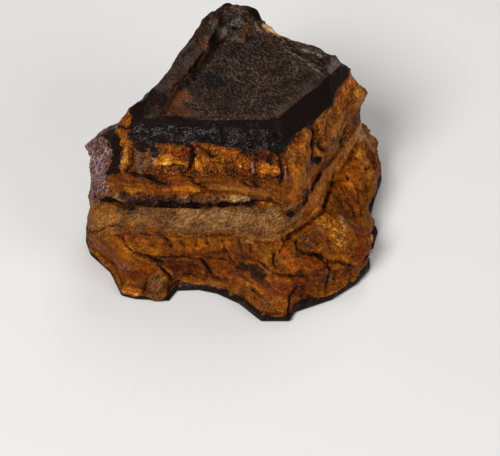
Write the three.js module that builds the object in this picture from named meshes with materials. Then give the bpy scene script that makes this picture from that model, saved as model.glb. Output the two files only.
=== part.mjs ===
// A palm-sized rough lump of tiger's eye: golden fibrous quartz in level beds between a dark
// ironstone foot and a dark ironstone cap, broken all round and left unpolished.
//
// The lump is one solid. Its skin is a grid: a column for each bearing round an upright axis, and
// a row for each step up from the underside, over the side and across the top. The beds' edges are
// outlines in plan, and the rows between two edges run straight from one to the other. Chips,
// scoops and cracks then move the skin along its normals.
// Millimetres and degrees. +Z is up, -Y is the side that shows the steps best, and the origin is
// under the middle of the lump, on the surface that it stands on.
import * as THREE from "three";

// Driving dimensions.
const columns = 100; // bearings round the lump
const axis = { x: 1, y: 4 }; // plan place of the upright line that each outline goes round once
const middle = { x: 0.6, y: 0.1 }; // middle of the plan, which moves to the origin
const footSwell = 0.35; // how far the foot's side swells out between its edge and the underside
const facetDish = 0.4; // sag of the cap's flat face at its middle
const ridgeInner = 1.8; // width over which the cap's ridge drops to its flat face
const knobTop = { x: 1.5, y: 21, reach: 9 }; // plan place of the cap's knob, and how far it spreads
const seamDepth = 1.1; // how far the dark seam under the upper block is cut back at the front
const backStart = 2; // how far back the lump's back starts, where the seam closes and the scars deepen
const backEnd = 14; // how far back both are at their full
const backScars = 0.9; // how much deeper the scars are there, as a share
const scarSize = 7; // distance between the flake scars' middles
const chipSize = 3.2; // distance between the small chips' middles
const chipShare = 0.35; // depth of the small chips, as a share of the scars' depth
const chipStretch = 1.6; // how much taller than wide the small chips are, along the fibres
const capStrip = 0.12; // strip inside the cap's edge that keeps the edge's own height, as a share

// Each bed's edge: its level above the underside, and its outline anticlockwise from the left.
// A third number is a corner's rise above the bed's level.
const foot = {
  level: 2,
  line: [
    [-27, -8.5], [-26, -11.7], [-22.2, -16], [-20, -21.4], [-17.5, -22.2], [-11.3, -22.6],
    [-10.1, -20.2], [-6, -20], [-2.7, -20.9], [1.3, -23.3], [5.3, -27.4], [10.3, -27.4],
    [11.4, -25.3], [18, -22.4], [22.7, -18.6], [25.2, -15], [25.2, -13.2], [23.3, -11.8],
    [26, -10], [26.8, -6.2], [25.6, -3], [26.6, 2], [28, 6.5], [28.2, 11],
    [27, 16], [21.5, 22.5], [14, 26.5], [3, 27.3], [-6, 25.9], [-14.5, 19.5],
    [-20, 12.5], [-24.8, 5], [-27, -3],
  ],
};
const belly = {
  level: 6,
  line: [
    [-25.7, -13.4], [-20.5, -19.5], [-15, -19.8], [-11, -19.8], [-6, -18.8, 0.5], [-1, -19],
    [3.5, -21.5], [7, -24], [11, -24], [14, -22.7], [18, -20.8], [22.4, -18.4],
    [25.6, -13], [23.7, -9.5, 1], [26, -4, 1], [27.3, 1, 1], [27.8, 6.3, 1], [27.2, 9.5, 2],
    [26.5, 14.5, 1], [21, 21], [14, 25.6], [4, 26.9], [-6, 25.4], [-14, 19],
    [-19.5, 12], [-24.5, 4.5], [-27, -3.5], [-26.6, -8.5],
  ],
};
const shoulder = {
  level: 12,
  line: [
    [-25.5, -16.2, -0.5], [-19.5, -16.7], [-13.5, -17.2], [-5.5, -17.4], [0, -17.4], [5.5, -18.2],
    [8, -17.7], [10.3, -16], [13, -13.8], [16, -10.6], [17.6, -6.4], [19.4, -1.6],
    [22, 3.5], [24.5, 9], [24, 14], [18.5, 20.5], [12.5, 23.6], [4, 25.8],
    [-5.8, 24.2], [-13.5, 17.5], [-18.5, 11, -0.5], [-23.5, 4, -0.5], [-26.3, -3, -1],
    [-26.5, -9, -0.5],
  ],
};
const seam = {
  level: 16,
  line: [
    [-25, -12.2], [-23.5, -12.2], [-19, -14.5], [-17.5, -13.5], [-13.5, -13.2], [-7.5, -13.8],
    [0, -13.8], [4.5, -13], [6, -12.5], [8.3, -14], [10, -16], [12.2, -14.5],
    [13.8, -11.3], [15, -7.6], [17.2, -3.9], [19.7, 0], [22.2, 3.8], [24, 7],
    [22.6, 12.7], [16.2, 19.3], [10.5, 21.8], [3, 23.8], [-5.8, 22.6], [-13, 16.3],
    [-17.5, 9.8], [-22, 3.8, -1], [-26.5, -2.5, -1], [-26.7, -6],
  ],
};
const lip = {
  level: 17.5,
  line: [
    [-24.5, -9.5, -0.5], [-22, -12], [-13.5, -12.8], [-5.5, -13], [0, -13.2], [4.5, -12.8],
    [6.5, -12.8], [9.5, -14.8, -0.5], [12.2, -14.2], [13.8, -11.2], [15, -8], [17, -4],
    [19.5, 0], [22, 4], [24, 7.5], [22.5, 12.5], [16, 19, -0.5], [9.5, 21.2, -0.5],
    [2, 22.9], [-5.8, 21.6, -0.5], [-12.5, 16, -0.5], [-17, 9.5, -0.5], [-21.5, 3.5, -1],
    [-26.3, -2.5, -1], [-26.6, -5, -0.5],
  ],
};
const splinters = {
  level: 22.5,
  line: [
    [-21.5, -4.5, -1.5], [-19.5, -11, -0.5], [-14.5, -12.5], [-5.5, -13], [3.5, -13],
    [9.5, -12.8], [12, -10], [15.5, -5], [18.5, 0], [21.5, 5.3], [24, 8.6],
    [20, 14.5, -0.5], [14, 19.5, -0.5], [8.3, 21.3, -0.5], [1, 23.4], [-5.6, 21.2, -0.5],
    [-10.5, 14.5, -1], [-14.5, 8.5, -1.5], [-18.5, 4, -2], [-24, 1, -2.2],
    [-27, -3, -2.4],
  ],
};
const rimFoot = {
  level: 27,
  line: [
    [-18.5, -4.5, 0.5], [-17.5, -7], [-14.5, -7.5], [-10, -8.5], [-5.5, -9.5], [-1, -10],
    [3.5, -10.5], [7.5, -10.5, -0.5], [10, -8.5], [13, -5], [15.5, -2.5], [18.5, 1],
    [19.5, 4.5], [22.2, 10, 1.2], [16.5, 13.5, 1.5], [12.8, 15.2, 2.2], [9.6, 17, 2],
    [7, 18.8, 2], [4.8, 21.3, 1.5], [1.5, 23, 2], [-2.6, 23.2, 1.5], [-6.3, 19.2, 1.5],
    [-8.5, 13, 0.5], [-11, 8.5], [-14, 3, -0.5], [-17, -0.5, -0.5], [-20.5, -3.5],
  ],
};
const rim = {
  level: 30,
  line: [
    [-16, -3.5, 0.5], [-16, -5.5], [-3, -6], [5.5, -6], [8.5, -5.5], [12, -1],
    [15.5, 2.5], [20.2, 8.6], [19, 10, 0.5], [15.5, 12, 0.5], [12.5, 13, 1], [9.5, 14.5, 1],
    [7.5, 16.2, 1.2], [5.3, 17.6, 1.7], [4.6, 20, 2.8], [2.5, 21.4, 3], [-1.6, 21.7, 3.1], [-4.6, 18, 2.9],
    [-7.3, 13.2, 2.3], [-9, 9.8, 2.1], [-11.4, 4.9, 1.6], [-14.3, 0.3, 1.1],
  ],
};

// The foot of the cap's ridge, in plan, going away from the front.
const crease = [[-14, -6.5], [-12.3, -2.8], [-8, 5], [-4.5, 11.5], [-2.5, 17]];

// The spans between edges: how many of the grid's rows each has, how deep its scars are, and how
// far its skin is cut back.
const spans = [
  { from: foot, to: belly, rows: 4, scar: 1.3, cut: 0 },
  { from: belly, to: shoulder, rows: 6, scar: 1.5, cut: 0 },
  { from: shoulder, to: seam, rows: 4, scar: 0.6, cut: 0 },
  { from: seam, to: lip, rows: 2, scar: 0.4, cut: seamDepth },
  { from: lip, to: splinters, rows: 5, scar: 1.5, cut: 0 },
  { from: splinters, to: rimFoot, rows: 5, scar: 1.6, cut: 0 },
  { from: rimFoot, to: rim, rows: 3, scar: 0.9, cut: 0 },
];
const capRows = 12;
const capScar = 0.4;

// Named forms on the skin: a path on it, how far the form reaches from the path, and how far it
// stands out, which is below zero for a scoop or a crack.
const forms = [
  { path: [[10.3, -16.2, 11.7], [13.1, -13.7, 11.9], [15.8, -10.7, 12.1], [17.6, -6.1, 11.9],
    [19.4, -1.4, 11.8], [21.9, 3.7, 11.9], [24.5, 9.1, 12]], width: 1.3, height: -1.2 }, // crevice
  { path: [[11.5, -16.5, 10.8], [14.1, -18, 9], [17.5, -18, 7.5], [21.5, -17.2, 6.8]],
    width: 1.2, height: -1 }, // crack under the right-hand lump
  { path: [[18, -14, 9.6], [20.6, -12.5, 8.6]], width: 3.4, height: 1.4 }, // right-hand lump
  { path: [[20.8, -4, 9.8], [23.8, 1.5, 9.6]], width: 3, height: 1.1 }, // lump above and behind it
  { path: [[7, -24.5, 5.1], [4.5, -20.5, 9]], width: 3, height: 0.6 }, // buttress at the front
  { path: [[-19.4, -17.7, 11.2], [-17.5, -19, 7.8], [-13.5, -20.4, 6], [-11.6, -21.3, 4.3],
    [-10.5, -21.5, 2]], width: 0.9, height: -0.8 }, // crack across the left of the foot
  { path: [[-20, -12, 21.6], [-8, -13.2, 21.6], [6, -13.2, 21.6]], width: 0.8, height: -0.5 }, // step
  { path: [[-7.6, -12.8, 20], [-7.8, -10.5, 25.5]], width: 0.9, height: -0.9 }, // notch in the splinters
  { path: [[-26.6, -7, 14]], width: 4.5, height: -1.3 }, // hollow in the left-hand facet
  { path: [[-17, 13, 10], [-19, 8, 16]], width: 6, height: -1.6 }, // scoop at the back on the left
  { path: [[-6, 22, 23], [-2, 24, 17]], width: 4, height: -1.3 }, // scoop under the knob
  { path: [[10, 26, 8]], width: 5, height: 1.2 }, // swelling at the back
  { path: [[20, 19, 15], [23, 14, 20]], width: 4.5, height: -1.2 }, // scoop at the back on the right
];

const radians = THREE.MathUtils.degToRad;
const smooth = THREE.MathUtils.smoothstep;
const mix = THREE.MathUtils.lerp;

// A number from 0 to 1 that is always the same for the same three numbers.
function chance(i, j, k) {
  const wave = Math.sin(i * 127.1 + j * 311.7 + k * 74.7) * 43758.5453;
  return wave - Math.floor(wave);
}

// The place where a ray from the axis, at a bearing in radians, meets a bed's edge.
function edgeAt(bed, bearing) {
  const dx = Math.cos(bearing);
  const dy = Math.sin(bearing);
  const line = bed.line;
  for (let i = 0; i < line.length; i++) {
    const [ax, ay, aRise = 0] = line[i];
    const [bx, by, bRise = 0] = line[(i + 1) % line.length];
    const px = ax - axis.x;
    const py = ay - axis.y;
    const sx = bx - ax;
    const sy = by - ay;
    const cross = dx * sy - dy * sx;
    if (Math.abs(cross) < 1e-9) continue;
    const along = (px * sy - py * sx) / cross;
    const share = (px * dy - py * dx) / cross;
    if (along > 0 && share >= 0 && share < 1) {
      return new THREE.Vector3(
        ax + share * sx, ay + share * sy, bed.level + mix(aRise, bRise, share));
    }
  }
  throw new Error("an outline doesn't go round the axis");
}

// Shell-shaped scars of flakes: a bowl round each point of a loose lattice, with a sharp ridge where
// two bowls meet. Each bowl is tilted and raised by chance. From about -0.5 in a bowl to 0.5 on a ridge.
function scars(point, size, stretch) {
  const q = [point.x / size, point.y / size, point.z / (size * stretch)];
  const cell = q.map(Math.floor);
  let lowest = Infinity;
  for (let i = cell[0] - 1; i <= cell[0] + 1; i++)
    for (let j = cell[1] - 1; j <= cell[1] + 1; j++)
      for (let k = cell[2] - 1; k <= cell[2] + 1; k++) {
        const dx = q[0] - i - chance(i, j, k);
        const dy = q[1] - j - chance(j, k, i + 7);
        const dz = q[2] - k - chance(k, i, j + 13);
        const tilt =
          dx * (chance(i + 3, j, k) - 0.5) +
          dy * (chance(i, j + 5, k) - 0.5) +
          dz * (chance(i, j, k + 9) - 0.5);
        const bowl = dx * dx + dy * dy + dz * dz + 1.2 * tilt + 0.5 * chance(i + 11, j, k);
        lowest = Math.min(lowest, bowl);
      }
  return lowest - 0.5;
}

// How far a point's skin is pushed out by the named lumps, scoops and cracks.
function relief(point) {
  let push = 0;
  for (const { path, width, height } of forms) {
    let nearest = Infinity;
    for (let i = 0; i < path.length; i++) {
      const start = new THREE.Vector3(...path[i]);
      const end = new THREE.Vector3(...(path[i + 1] ?? path[i]));
      const stretch = new THREE.Line3(start, end);
      const share = start.equals(end) ? 0 : stretch.closestPointToPointParameter(point, true);
      nearest = Math.min(nearest, stretch.at(share, new THREE.Vector3()).distanceTo(point));
    }
    push += height * Math.exp(-((nearest / width) ** 2));
  }
  return push;
}

// Distance in plan from a point to an open line, positive on the line's left.
function besideLine(x, y, line) {
  let nearest = Infinity;
  let side = 1;
  for (let i = 0; i + 1 < line.length; i++) {
    const [ax, ay] = line[i];
    const sx = line[i + 1][0] - ax;
    const sy = line[i + 1][1] - ay;
    const share = THREE.MathUtils.clamp(
      ((x - ax) * sx + (y - ay) * sy) / (sx * sx + sy * sy), 0, 1);
    const gap = Math.hypot(x - ax - share * sx, y - ay - share * sy);
    if (gap >= nearest) continue;
    nearest = gap;
    side = sx * (y - ay) - sy * (x - ax) > 0 ? 1 : -1;
  }
  return nearest * side;
}

// The cap's top: a flat face a little dished, a ridge along its left edge and a knob at the back.
function capPoint(edge, inward) {
  const x = mix(edge.x, axis.x, inward);
  const y = mix(edge.y, axis.y, inward);
  const ridge = smooth(besideLine(x, y, crease), -ridgeInner, 0);
  const knob = 1 - smooth(Math.hypot(x - knobTop.x, y - knobTop.y), 0, knobTop.reach);
  const rimStrip = 1 - smooth(inward, 0, capStrip);
  const flat = rim.level - facetDish * smooth(inward, 0, 0.6);
  return new THREE.Vector3(x, y, mix(flat, edge.z, Math.max(ridge, knob, rimStrip)));
}

// The grid's rows, from the underside's edge to the last ring on the cap, each with its scars' depth.
function gridRows() {
  const bearings = Array.from({ length: columns }, (_, c) => radians((360 * c) / columns - 180));
  const edgesOf = (bed) => bearings.map((bearing) => edgeAt(bed, bearing));
  const rows = [];
  const footEdge = edgesOf(foot);
  const plain = { scar: 0, cut: 0 };
  rows.push({ points: footEdge.map((p) => new THREE.Vector3(p.x, p.y, 0)), ...plain });
  const swollen = footEdge.map((p, c) =>
    new THREE.Vector3(Math.cos(bearings[c]), Math.sin(bearings[c]), 0)
      .multiplyScalar(footSwell)
      .add(new THREE.Vector3(p.x, p.y, foot.level * 0.4)));
  rows.push({ points: swollen, ...plain });
  for (const span of spans) {
    const low = edgesOf(span.from);
    const high = edgesOf(span.to);
    for (let r = 0; r < span.rows; r++)
      rows.push({
        points: low.map((p, c) => p.clone().lerp(high[c], r / span.rows)),
        scar: span.scar,
        cut: span.cut,
      });
  }
  const rimEdge = edgesOf(rim);
  for (let r = 0; r < capRows; r++)
    rows.push({ points: rimEdge.map((p) => capPoint(p, r / capRows)), scar: capScar, cut: 0 });
  return rows;
}

// The closed skin: the rows as a band of quads, and a fan to a point under and over it.
function stoneGeometry() {
  const rows = gridRows();
  const places = rows.flatMap((row) => row.points);
  const index = [];
  for (let r = 0; r + 1 < rows.length; r++)
    for (let c = 0; c < columns; c++) {
      const a = r * columns + c;
      const b = r * columns + ((c + 1) % columns);
      index.push(a, b, b + columns, a, b + columns, a + columns);
    }
  const underMiddle = places.length;
  const capMiddle = underMiddle + 1;
  places.push(new THREE.Vector3(axis.x, axis.y, 0));
  places.push(new THREE.Vector3(axis.x, axis.y, rim.level - facetDish));
  const last = (rows.length - 1) * columns;
  for (let c = 0; c < columns; c++) {
    const next = (c + 1) % columns;
    index.push(next, c, underMiddle);
    index.push(last + c, last + next, capMiddle);
  }
  const geometry = new THREE.BufferGeometry().setFromPoints(places);
  geometry.setIndex(index);
  geometry.computeVertexNormals();
  const normals = geometry.getAttribute("normal");
  const normal = new THREE.Vector3();
  rows.forEach((row, r) =>
    row.points.forEach((point, c) => {
      normal.fromBufferAttribute(normals, r * columns + c);
      const back = smooth(point.y, backStart, backEnd);
      const broken = scars(point, scarSize, 1) + chipShare * scars(point, chipSize, chipStretch);
      const depth = row.scar * (1 + backScars * back) * broken + relief(point) - row.cut * (1 - back);
      if (row.scar > 0) point.addScaledVector(normal, depth);
    }));
  for (const place of places) place.set(place.x - middle.x, place.y - middle.y, place.z);
  geometry.setFromPoints(places);
  geometry.computeVertexNormals();
  return geometry;
}

const stone = new THREE.Mesh(
  stoneGeometry(),
  new THREE.MeshStandardMaterial({ color: 0x9a5c1c, roughness: 0.45, metalness: 0 }),
);
stone.name = "tigers_eye_lump";

const lump = new THREE.Group();
lump.add(stone);

export default lump;
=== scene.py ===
import math

import bpy
import numpy as np
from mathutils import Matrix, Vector


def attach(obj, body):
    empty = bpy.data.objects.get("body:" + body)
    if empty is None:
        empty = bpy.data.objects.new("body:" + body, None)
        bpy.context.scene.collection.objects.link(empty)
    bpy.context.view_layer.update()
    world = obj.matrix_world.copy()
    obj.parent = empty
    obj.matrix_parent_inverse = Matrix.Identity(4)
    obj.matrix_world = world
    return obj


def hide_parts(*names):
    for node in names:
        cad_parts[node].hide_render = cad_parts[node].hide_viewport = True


# A rough lump of tiger's eye, dressed round its plain solid: golden fibrous beds between a
# near-black ironstone foot and a near-black ironstone cap.
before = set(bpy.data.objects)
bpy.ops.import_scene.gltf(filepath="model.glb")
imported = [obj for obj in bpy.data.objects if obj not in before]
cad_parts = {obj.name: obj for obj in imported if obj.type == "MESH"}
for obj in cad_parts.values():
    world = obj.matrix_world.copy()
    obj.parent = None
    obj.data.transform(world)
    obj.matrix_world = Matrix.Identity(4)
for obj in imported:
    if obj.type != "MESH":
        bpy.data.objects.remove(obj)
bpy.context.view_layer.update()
mm = 0.001  # metres in a millimetre


# The lump's beds, in millimetres.
# Each bed's edge: its level, and its outline in plan, anticlockwise from the left.
# A third number is a corner's rise above the level.
beds = [
    (2, [(-27, -8.5), (-26, -11.7), (-22.2, -16), (-20, -21.4), (-17.5, -22.2), (-11.3, -22.6),
         (-10.1, -20.2), (-6, -20), (-2.7, -20.9), (1.3, -23.3), (5.3, -27.4), (10.3, -27.4),
         (11.4, -25.3), (18, -22.4), (22.7, -18.6), (25.2, -15), (25.2, -13.2), (23.3, -11.8),
         (26, -10), (26.8, -6.2), (25.6, -3), (26.6, 2), (28, 6.5), (28.2, 11),
         (27, 16), (21.5, 22.5), (14, 26.5), (3, 27.3), (-6, 25.9), (-14.5, 19.5),
         (-20, 12.5), (-24.8, 5), (-27, -3)]),  # 1 foot
    (6, [(-25.7, -13.4), (-20.5, -19.5), (-15, -19.8), (-11, -19.8), (-6, -18.8, 0.5), (-1, -19),
         (3.5, -21.5), (7, -24), (11, -24), (14, -22.7), (18, -20.8), (22.4, -18.4),
         (25.6, -13), (23.7, -9.5, 1), (26, -4, 1), (27.3, 1, 1), (27.8, 6.3, 1), (27.2, 9.5, 2),
         (26.5, 14.5, 1), (21, 21), (14, 25.6), (4, 26.9), (-6, 25.4), (-14, 19),
         (-19.5, 12), (-24.5, 4.5), (-27, -3.5), (-26.6, -8.5)]),  # 2 belly
    (12, [(-25.5, -16.2, -0.5), (-19.5, -16.7), (-13.5, -17.2), (-5.5, -17.4), (0, -17.4),
          (5.5, -18.2), (8, -17.7), (10.3, -16), (13, -13.8), (16, -10.6), (17.6, -6.4),
          (19.4, -1.6), (22, 3.5), (24.5, 9), (24, 14), (18.5, 20.5), (12.5, 23.6), (4, 25.8),
          (-5.8, 24.2), (-13.5, 17.5), (-18.5, 11, -0.5), (-23.5, 4, -0.5), (-26.3, -3, -1),
          (-26.5, -9, -0.5)]),  # 3 shoulder
    (16, [(-25, -12.2), (-23.5, -12.2), (-19, -14.5), (-17.5, -13.5), (-13.5, -13.2),
          (-7.5, -13.8), (0, -13.8), (4.5, -13), (6, -12.5), (8.3, -14), (10, -16),
          (12.2, -14.5), (13.8, -11.3), (15, -7.6), (17.2, -3.9), (19.7, 0), (22.2, 3.8),
          (24, 7), (22.6, 12.7), (16.2, 19.3), (10.5, 21.8), (3, 23.8), (-5.8, 22.6),
          (-13, 16.3), (-17.5, 9.8), (-22, 3.8, -1), (-26.5, -2.5, -1), (-26.7, -6)]),  # 4 seam
    (17.5, [(-24.5, -9.5, -0.5), (-22, -12), (-13.5, -12.8), (-5.5, -13), (0, -13.2),
            (4.5, -12.8), (6.5, -12.8), (9.5, -14.8, -0.5), (12.2, -14.2), (13.8, -11.2),
            (15, -8), (17, -4), (19.5, 0), (22, 4), (24, 7.5), (22.5, 12.5), (16, 19, -0.5),
            (9.5, 21.2, -0.5), (2, 22.9), (-5.8, 21.6, -0.5), (-12.5, 16, -0.5),
            (-17, 9.5, -0.5), (-21.5, 3.5, -1), (-26.3, -2.5, -1), (-26.6, -5, -0.5)]),  # 5 lip
    (22.5, [(-21.5, -4.5, -1.5), (-19.5, -11, -0.5), (-14.5, -12.5), (-5.5, -13), (3.5, -13),
            (9.5, -12.8), (12, -10), (15.5, -5), (18.5, 0), (21.5, 5.3), (24, 8.6),
            (20, 14.5, -0.5), (14, 19.5, -0.5), (8.3, 21.3, -0.5), (1, 23.4), (-5.6, 21.2, -0.5),
            (-10.5, 14.5, -1), (-14.5, 8.5, -1.5), (-18.5, 4, -2), (-24, 1, -2.2),
            (-27, -3, -2.4)]),  # 6 splinters
    (27, [(-18.5, -4.5, 0.5), (-17.5, -7), (-14.5, -7.5), (-10, -8.5), (-5.5, -9.5), (-1, -10),
          (3.5, -10.5), (7.5, -10.5, -0.5), (10, -8.5), (13, -5), (15.5, -2.5), (18.5, 1),
          (19.5, 4.5), (22.2, 10, 0.6), (16.5, 13.2, 0.3), (12.8, 14.6, 0.8), (9.6, 16, 1),
          (7, 18.8, 2), (4.8, 21.3, 1.5), (1.5, 23, 2), (-2.6, 23.2, 1.5), (-6.3, 19.2, 1.5),
          (-8.5, 13, 0.5), (-11, 8.5), (-14, 3, -0.5), (-17, -0.5, -0.5),
          (-20.5, -3.5)]),  # 7 foot of the bevel
    (30, [(-16, -3.5, 0.5), (-16, -5.5), (-3, -6), (5.5, -6), (8.5, -5.5), (12, -1),
          (15.5, 2.5), (20.2, 8.6), (19, 10, 0.5), (15.5, 12, 0.5), (12.5, 13, 1),
          (9.5, 14.5, 1), (7.5, 16.2, 1.2), (5.3, 17.6, 1.7), (4.6, 20, 2.8), (2.5, 21.4, 3),
          (-1.6, 21.7, 3.1), (-4.6, 18, 2.9), (-7.3, 13.2, 2.3), (-9, 9.8, 2.1),
          (-11.4, 4.9, 1.6), (-14.3, 0.3, 1.1)]),  # 8 rim of the cap
]

stoneForm = {
    "columns": 440,  # bearings round the lump
    "frontShare": 0.36,  # how much closer the columns stand at the front
    "frontBearing": -75,  # degrees
    "axis": (1, 4),  # plan place of the upright line that every outline goes round once
    "middle": (0.6, 0.1),  # middle of the plan, which moves to the origin
    "rows": (6, 7, 18, 35, 24, 12, 27, 31, 21, 42),  # grid rows of the underside, foot, spans, cap
    "scars": (1.3, 1.5, 0.6, 0.4, 1.5, 1.6, 0.9, 0.4),  # depth of the scars in each span and the cap
    "footSwell": 0.35, "swellPower": 0.75,
    "breakFrom": (0.72, 1.05),  # tiers over which the break begins above the foot
    "seamDepth": 0.4, "seamTiers": (4, 4.2, 0.12),
    "capDish": 0.4, "dishReach": 0.6,  # how deep the cap dishes, by which share of the way in
    "rimStrip": 0.12, "ridgeWidth": 0.9,
    "across": 40,  # usual width, for marks that run round the lump
    "knob": (1.5, 21, 9),  # place of the cap's knob in plan, and its reach
    "backStart": 2, "backEnd": 14, "backScars": 0.9,
    "scarSize": 7, "chipSize": 3.2, "chipShare": 0.35, "chipStretch": 1.6,
}

# The foot of the cap's ridge, in plan.
crease = [(-14, -5.2), (-11.5, -1.9), (-9.7, 2), (-6.5, 6.5), (-4.2, 10.8), (-2.5, 17)]

# Named forms: a path on the skin, how far the form reaches, and how far it stands out.
forms = [
    ([(10.3, -16.2, 11.7), (13.1, -13.7, 11.9), (15.8, -10.7, 12.1), (17.6, -6.1, 11.9),
      (19.4, -1.4, 11.8), (21.9, 3.7, 11.9), (24.5, 9.1, 12)], 1.3, -1.2),  # crevice
    ([(11.5, -16.5, 10.8), (14.1, -18, 9), (17.5, -18, 7.5), (21.5, -17.2, 6.8)], 1.2, -1),
    ([(18, -14, 9.6), (20.6, -12.5, 8.6)], 3.4, 1.4),  # right-hand lump
    ([(20.8, -4, 9.8), (23.8, 1.5, 9.6)], 3, 1.1),  # lump above and behind it
    ([(7, -24.5, 5.1), (4.5, -20.5, 9)], 3, 0.6),  # buttress
    ([(10.2, -19.5, 9), (13.5, -17.8, 7.8)], 2.4, 0.6),  # smooth lump right of it
    ([(-19.4, -17.7, 11.2), (-17.5, -19, 7.8), (-13.5, -20.4, 6), (-11.6, -21.3, 4.3),
      (-10.5, -21.5, 2)], 0.9, -0.8),  # crack across the left of the foot
    ([(-20, -12, 21.6), (-8, -13.2, 21.6), (6, -13.2, 21.6)], 0.8, -0.5),  # step
    ([(-7.6, -12.8, 20), (-7.8, -10.5, 25.5)], 0.9, -0.9),  # notch in the splinters
    ([(-26.6, -7, 14), (-26.6, -7, 14.1)], 4.5, -1.3),  # hollow in the left-hand facet
    ([(-17, 13, 10), (-19, 8, 16)], 6, -1.6),  # scoop at the back on the left
    ([(-6, 22, 23), (-2, 24, 17)], 4, -1.3),  # scoop under the knob
    ([(10, 26, 8), (10, 26, 8.1)], 5, 1.2),  # swelling at the back
    ([(20, 19, 15), (23, 14, 20)], 4.5, -1.2),  # scoop at the back on the right
]


# 0 below low, 1 above high, and 3s^2 - 2s^3 of the share s between.
def smooth(value, low, high):
    share = np.clip((value - low) / (high - low), 0, 1)
    return share * share * (3 - 2 * share)


# 1 between low and high, falling to 0 over soft on both sides.
def between(value, low, high, soft):
    return smooth(value, low - soft, low) * (1 - smooth(value, high, high + soft))


# The fraction of sin(127.1 i + 311.7 j + 74.7 k) * 43758.5453, a number from 0 to 1.
def chance(i, j, k):
    wave = np.sin(i * 127.1 + j * 311.7 + k * 74.7) * 43758.5453
    return wave - np.floor(wave)


# The least, over the 27 nearest lattice points, of distance squared + 1.2 tilt + 0.5 chance,
# less a half: bowls with sharp ridges between them.
def scars(place, size, stretch):
    q = place / np.array([size, size, size * stretch])
    cell = np.floor(q)
    lowest = np.full(q.shape[:-1], np.inf)
    for step in np.ndindex(3, 3, 3):
        i, j, k = (cell[..., n] + step[n] - 1 for n in range(3))
        dx = q[..., 0] - i - chance(i, j, k)
        dy = q[..., 1] - j - chance(j, k, i + 7)
        dz = q[..., 2] - k - chance(k, i, j + 13)
        tilt = (dx * (chance(i + 3, j, k) - 0.5) + dy * (chance(i, j + 5, k) - 0.5)
                + dz * (chance(i, j, k + 9) - 0.5))
        bowl = dx * dx + dy * dy + dz * dz + 1.2 * tilt + 0.5 * chance(i + 11, j, k)
        lowest = np.minimum(lowest, bowl)
    return lowest - 0.5


# Chance values at a cell's eight corners, mixed by the smooth share along each axis: -1 to 1.
def ripple(place, size, seed=0):
    q = place / size + seed * 17.3
    cell = np.floor(q)
    share = q - cell
    share = share * share * (3 - 2 * share)
    total = np.zeros(q.shape[:-1])
    for step in np.ndindex(2, 2, 2):
        weight = np.prod(np.where(np.array(step) == 1, share, 1 - share), axis=-1)
        corner = cell + np.array(step)
        total += weight * chance(corner[..., 0], corner[..., 1], corner[..., 2])
    return 2 * total - 1


# Ripples added up, each half the size and half the height of the one before.
def roughness(place, size, octaves, seed=0):
    return sum(ripple(place, size / 2 ** n, seed + n) / 2 ** n for n in range(octaves))


pathReach, farAway = 9, 99.0  # millimetres past which a path has no effect, and what counts as far


# The distance from each place to a path of straight stretches, which side of it the place lies on,
# from 1 on the left of the way along it to -1 on the right, and how far along its nearest point is.
# The side is told on a flat map of the same places and path.
def beside(place, path, flatPlace, flatPath):
    nearest = np.full(place.shape[:-1], np.inf)
    side, way = np.ones(nearest.shape), np.zeros(nearest.shape)
    for n in range(len(path) - 1):
        run, turn = path[n + 1] - path[n], flatPath[n + 1] - flatPath[n]
        share = np.clip(((place - path[n]) @ run) / (run @ run), 0, 1)
        gap = np.linalg.norm(place - path[n] - share[..., None] * run, axis=-1)
        away = flatPlace - flatPath[n]
        closer = gap < nearest
        side = np.where(closer, np.sign(turn[0] * away[..., 1] - turn[1] * away[..., 0]), side)
        way = np.where(closer, (n + share) / (len(path) - 1), way)
        nearest = np.minimum(nearest, gap)
    return nearest, side, way


# The same distance and way for a path in the stone, where only the places in its reach are worked out.
def distanceTo(place, path):
    path = np.array(path, float)
    low, high = path.min(axis=0) - pathReach, path.max(axis=0) + pathReach
    close = np.all((place > low) & (place < high), axis=-1)
    here = place[close]
    gaps, ways = np.full(close.shape, farAway), np.zeros(close.shape)
    gaps[close], _, ways[close] = beside(here, path, here[:, :2], path[:, :2])
    return gaps, ways


# Where the ray from the axis at each bearing crosses an outline: the stretch whose share lies
# between 0 and 1, by the cross products of the ray, the stretch and the way to its start.
def edgeAt(bed, bearings):
    level, line = beds[bed]
    corners = np.array([corner if len(corner) == 3 else (*corner, 0) for corner in line], float)
    run = np.roll(corners, -1, axis=0) - corners
    start = corners[:, :2] - np.array(stoneForm["axis"])
    dx = np.cos(bearings)[..., None]
    dy = np.sin(bearings)[..., None]
    cross = dx * run[:, 1] - dy * run[:, 0]
    cross = np.where(np.abs(cross) < 1e-9, 1e-9, cross)
    along = (start[:, 0] * run[:, 1] - start[:, 1] * run[:, 0]) / cross
    share = (start[:, 0] * dy - start[:, 1] * dx) / cross
    hit = np.argmax((along > 0) & (share >= 0) & (share < 1), axis=-1)
    share = np.take_along_axis(share, hit[..., None], axis=-1)
    place = corners[hit] + share * run[hit]
    place[..., 2] += level
    return place


# Signed distance in plan to the crease, positive on the ridge's side.
def besideCrease(place):
    spot, line = place[..., :2], np.array(crease, float)
    gap, side, _ = beside(spot, line, spot, line)
    return gap * side


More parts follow.
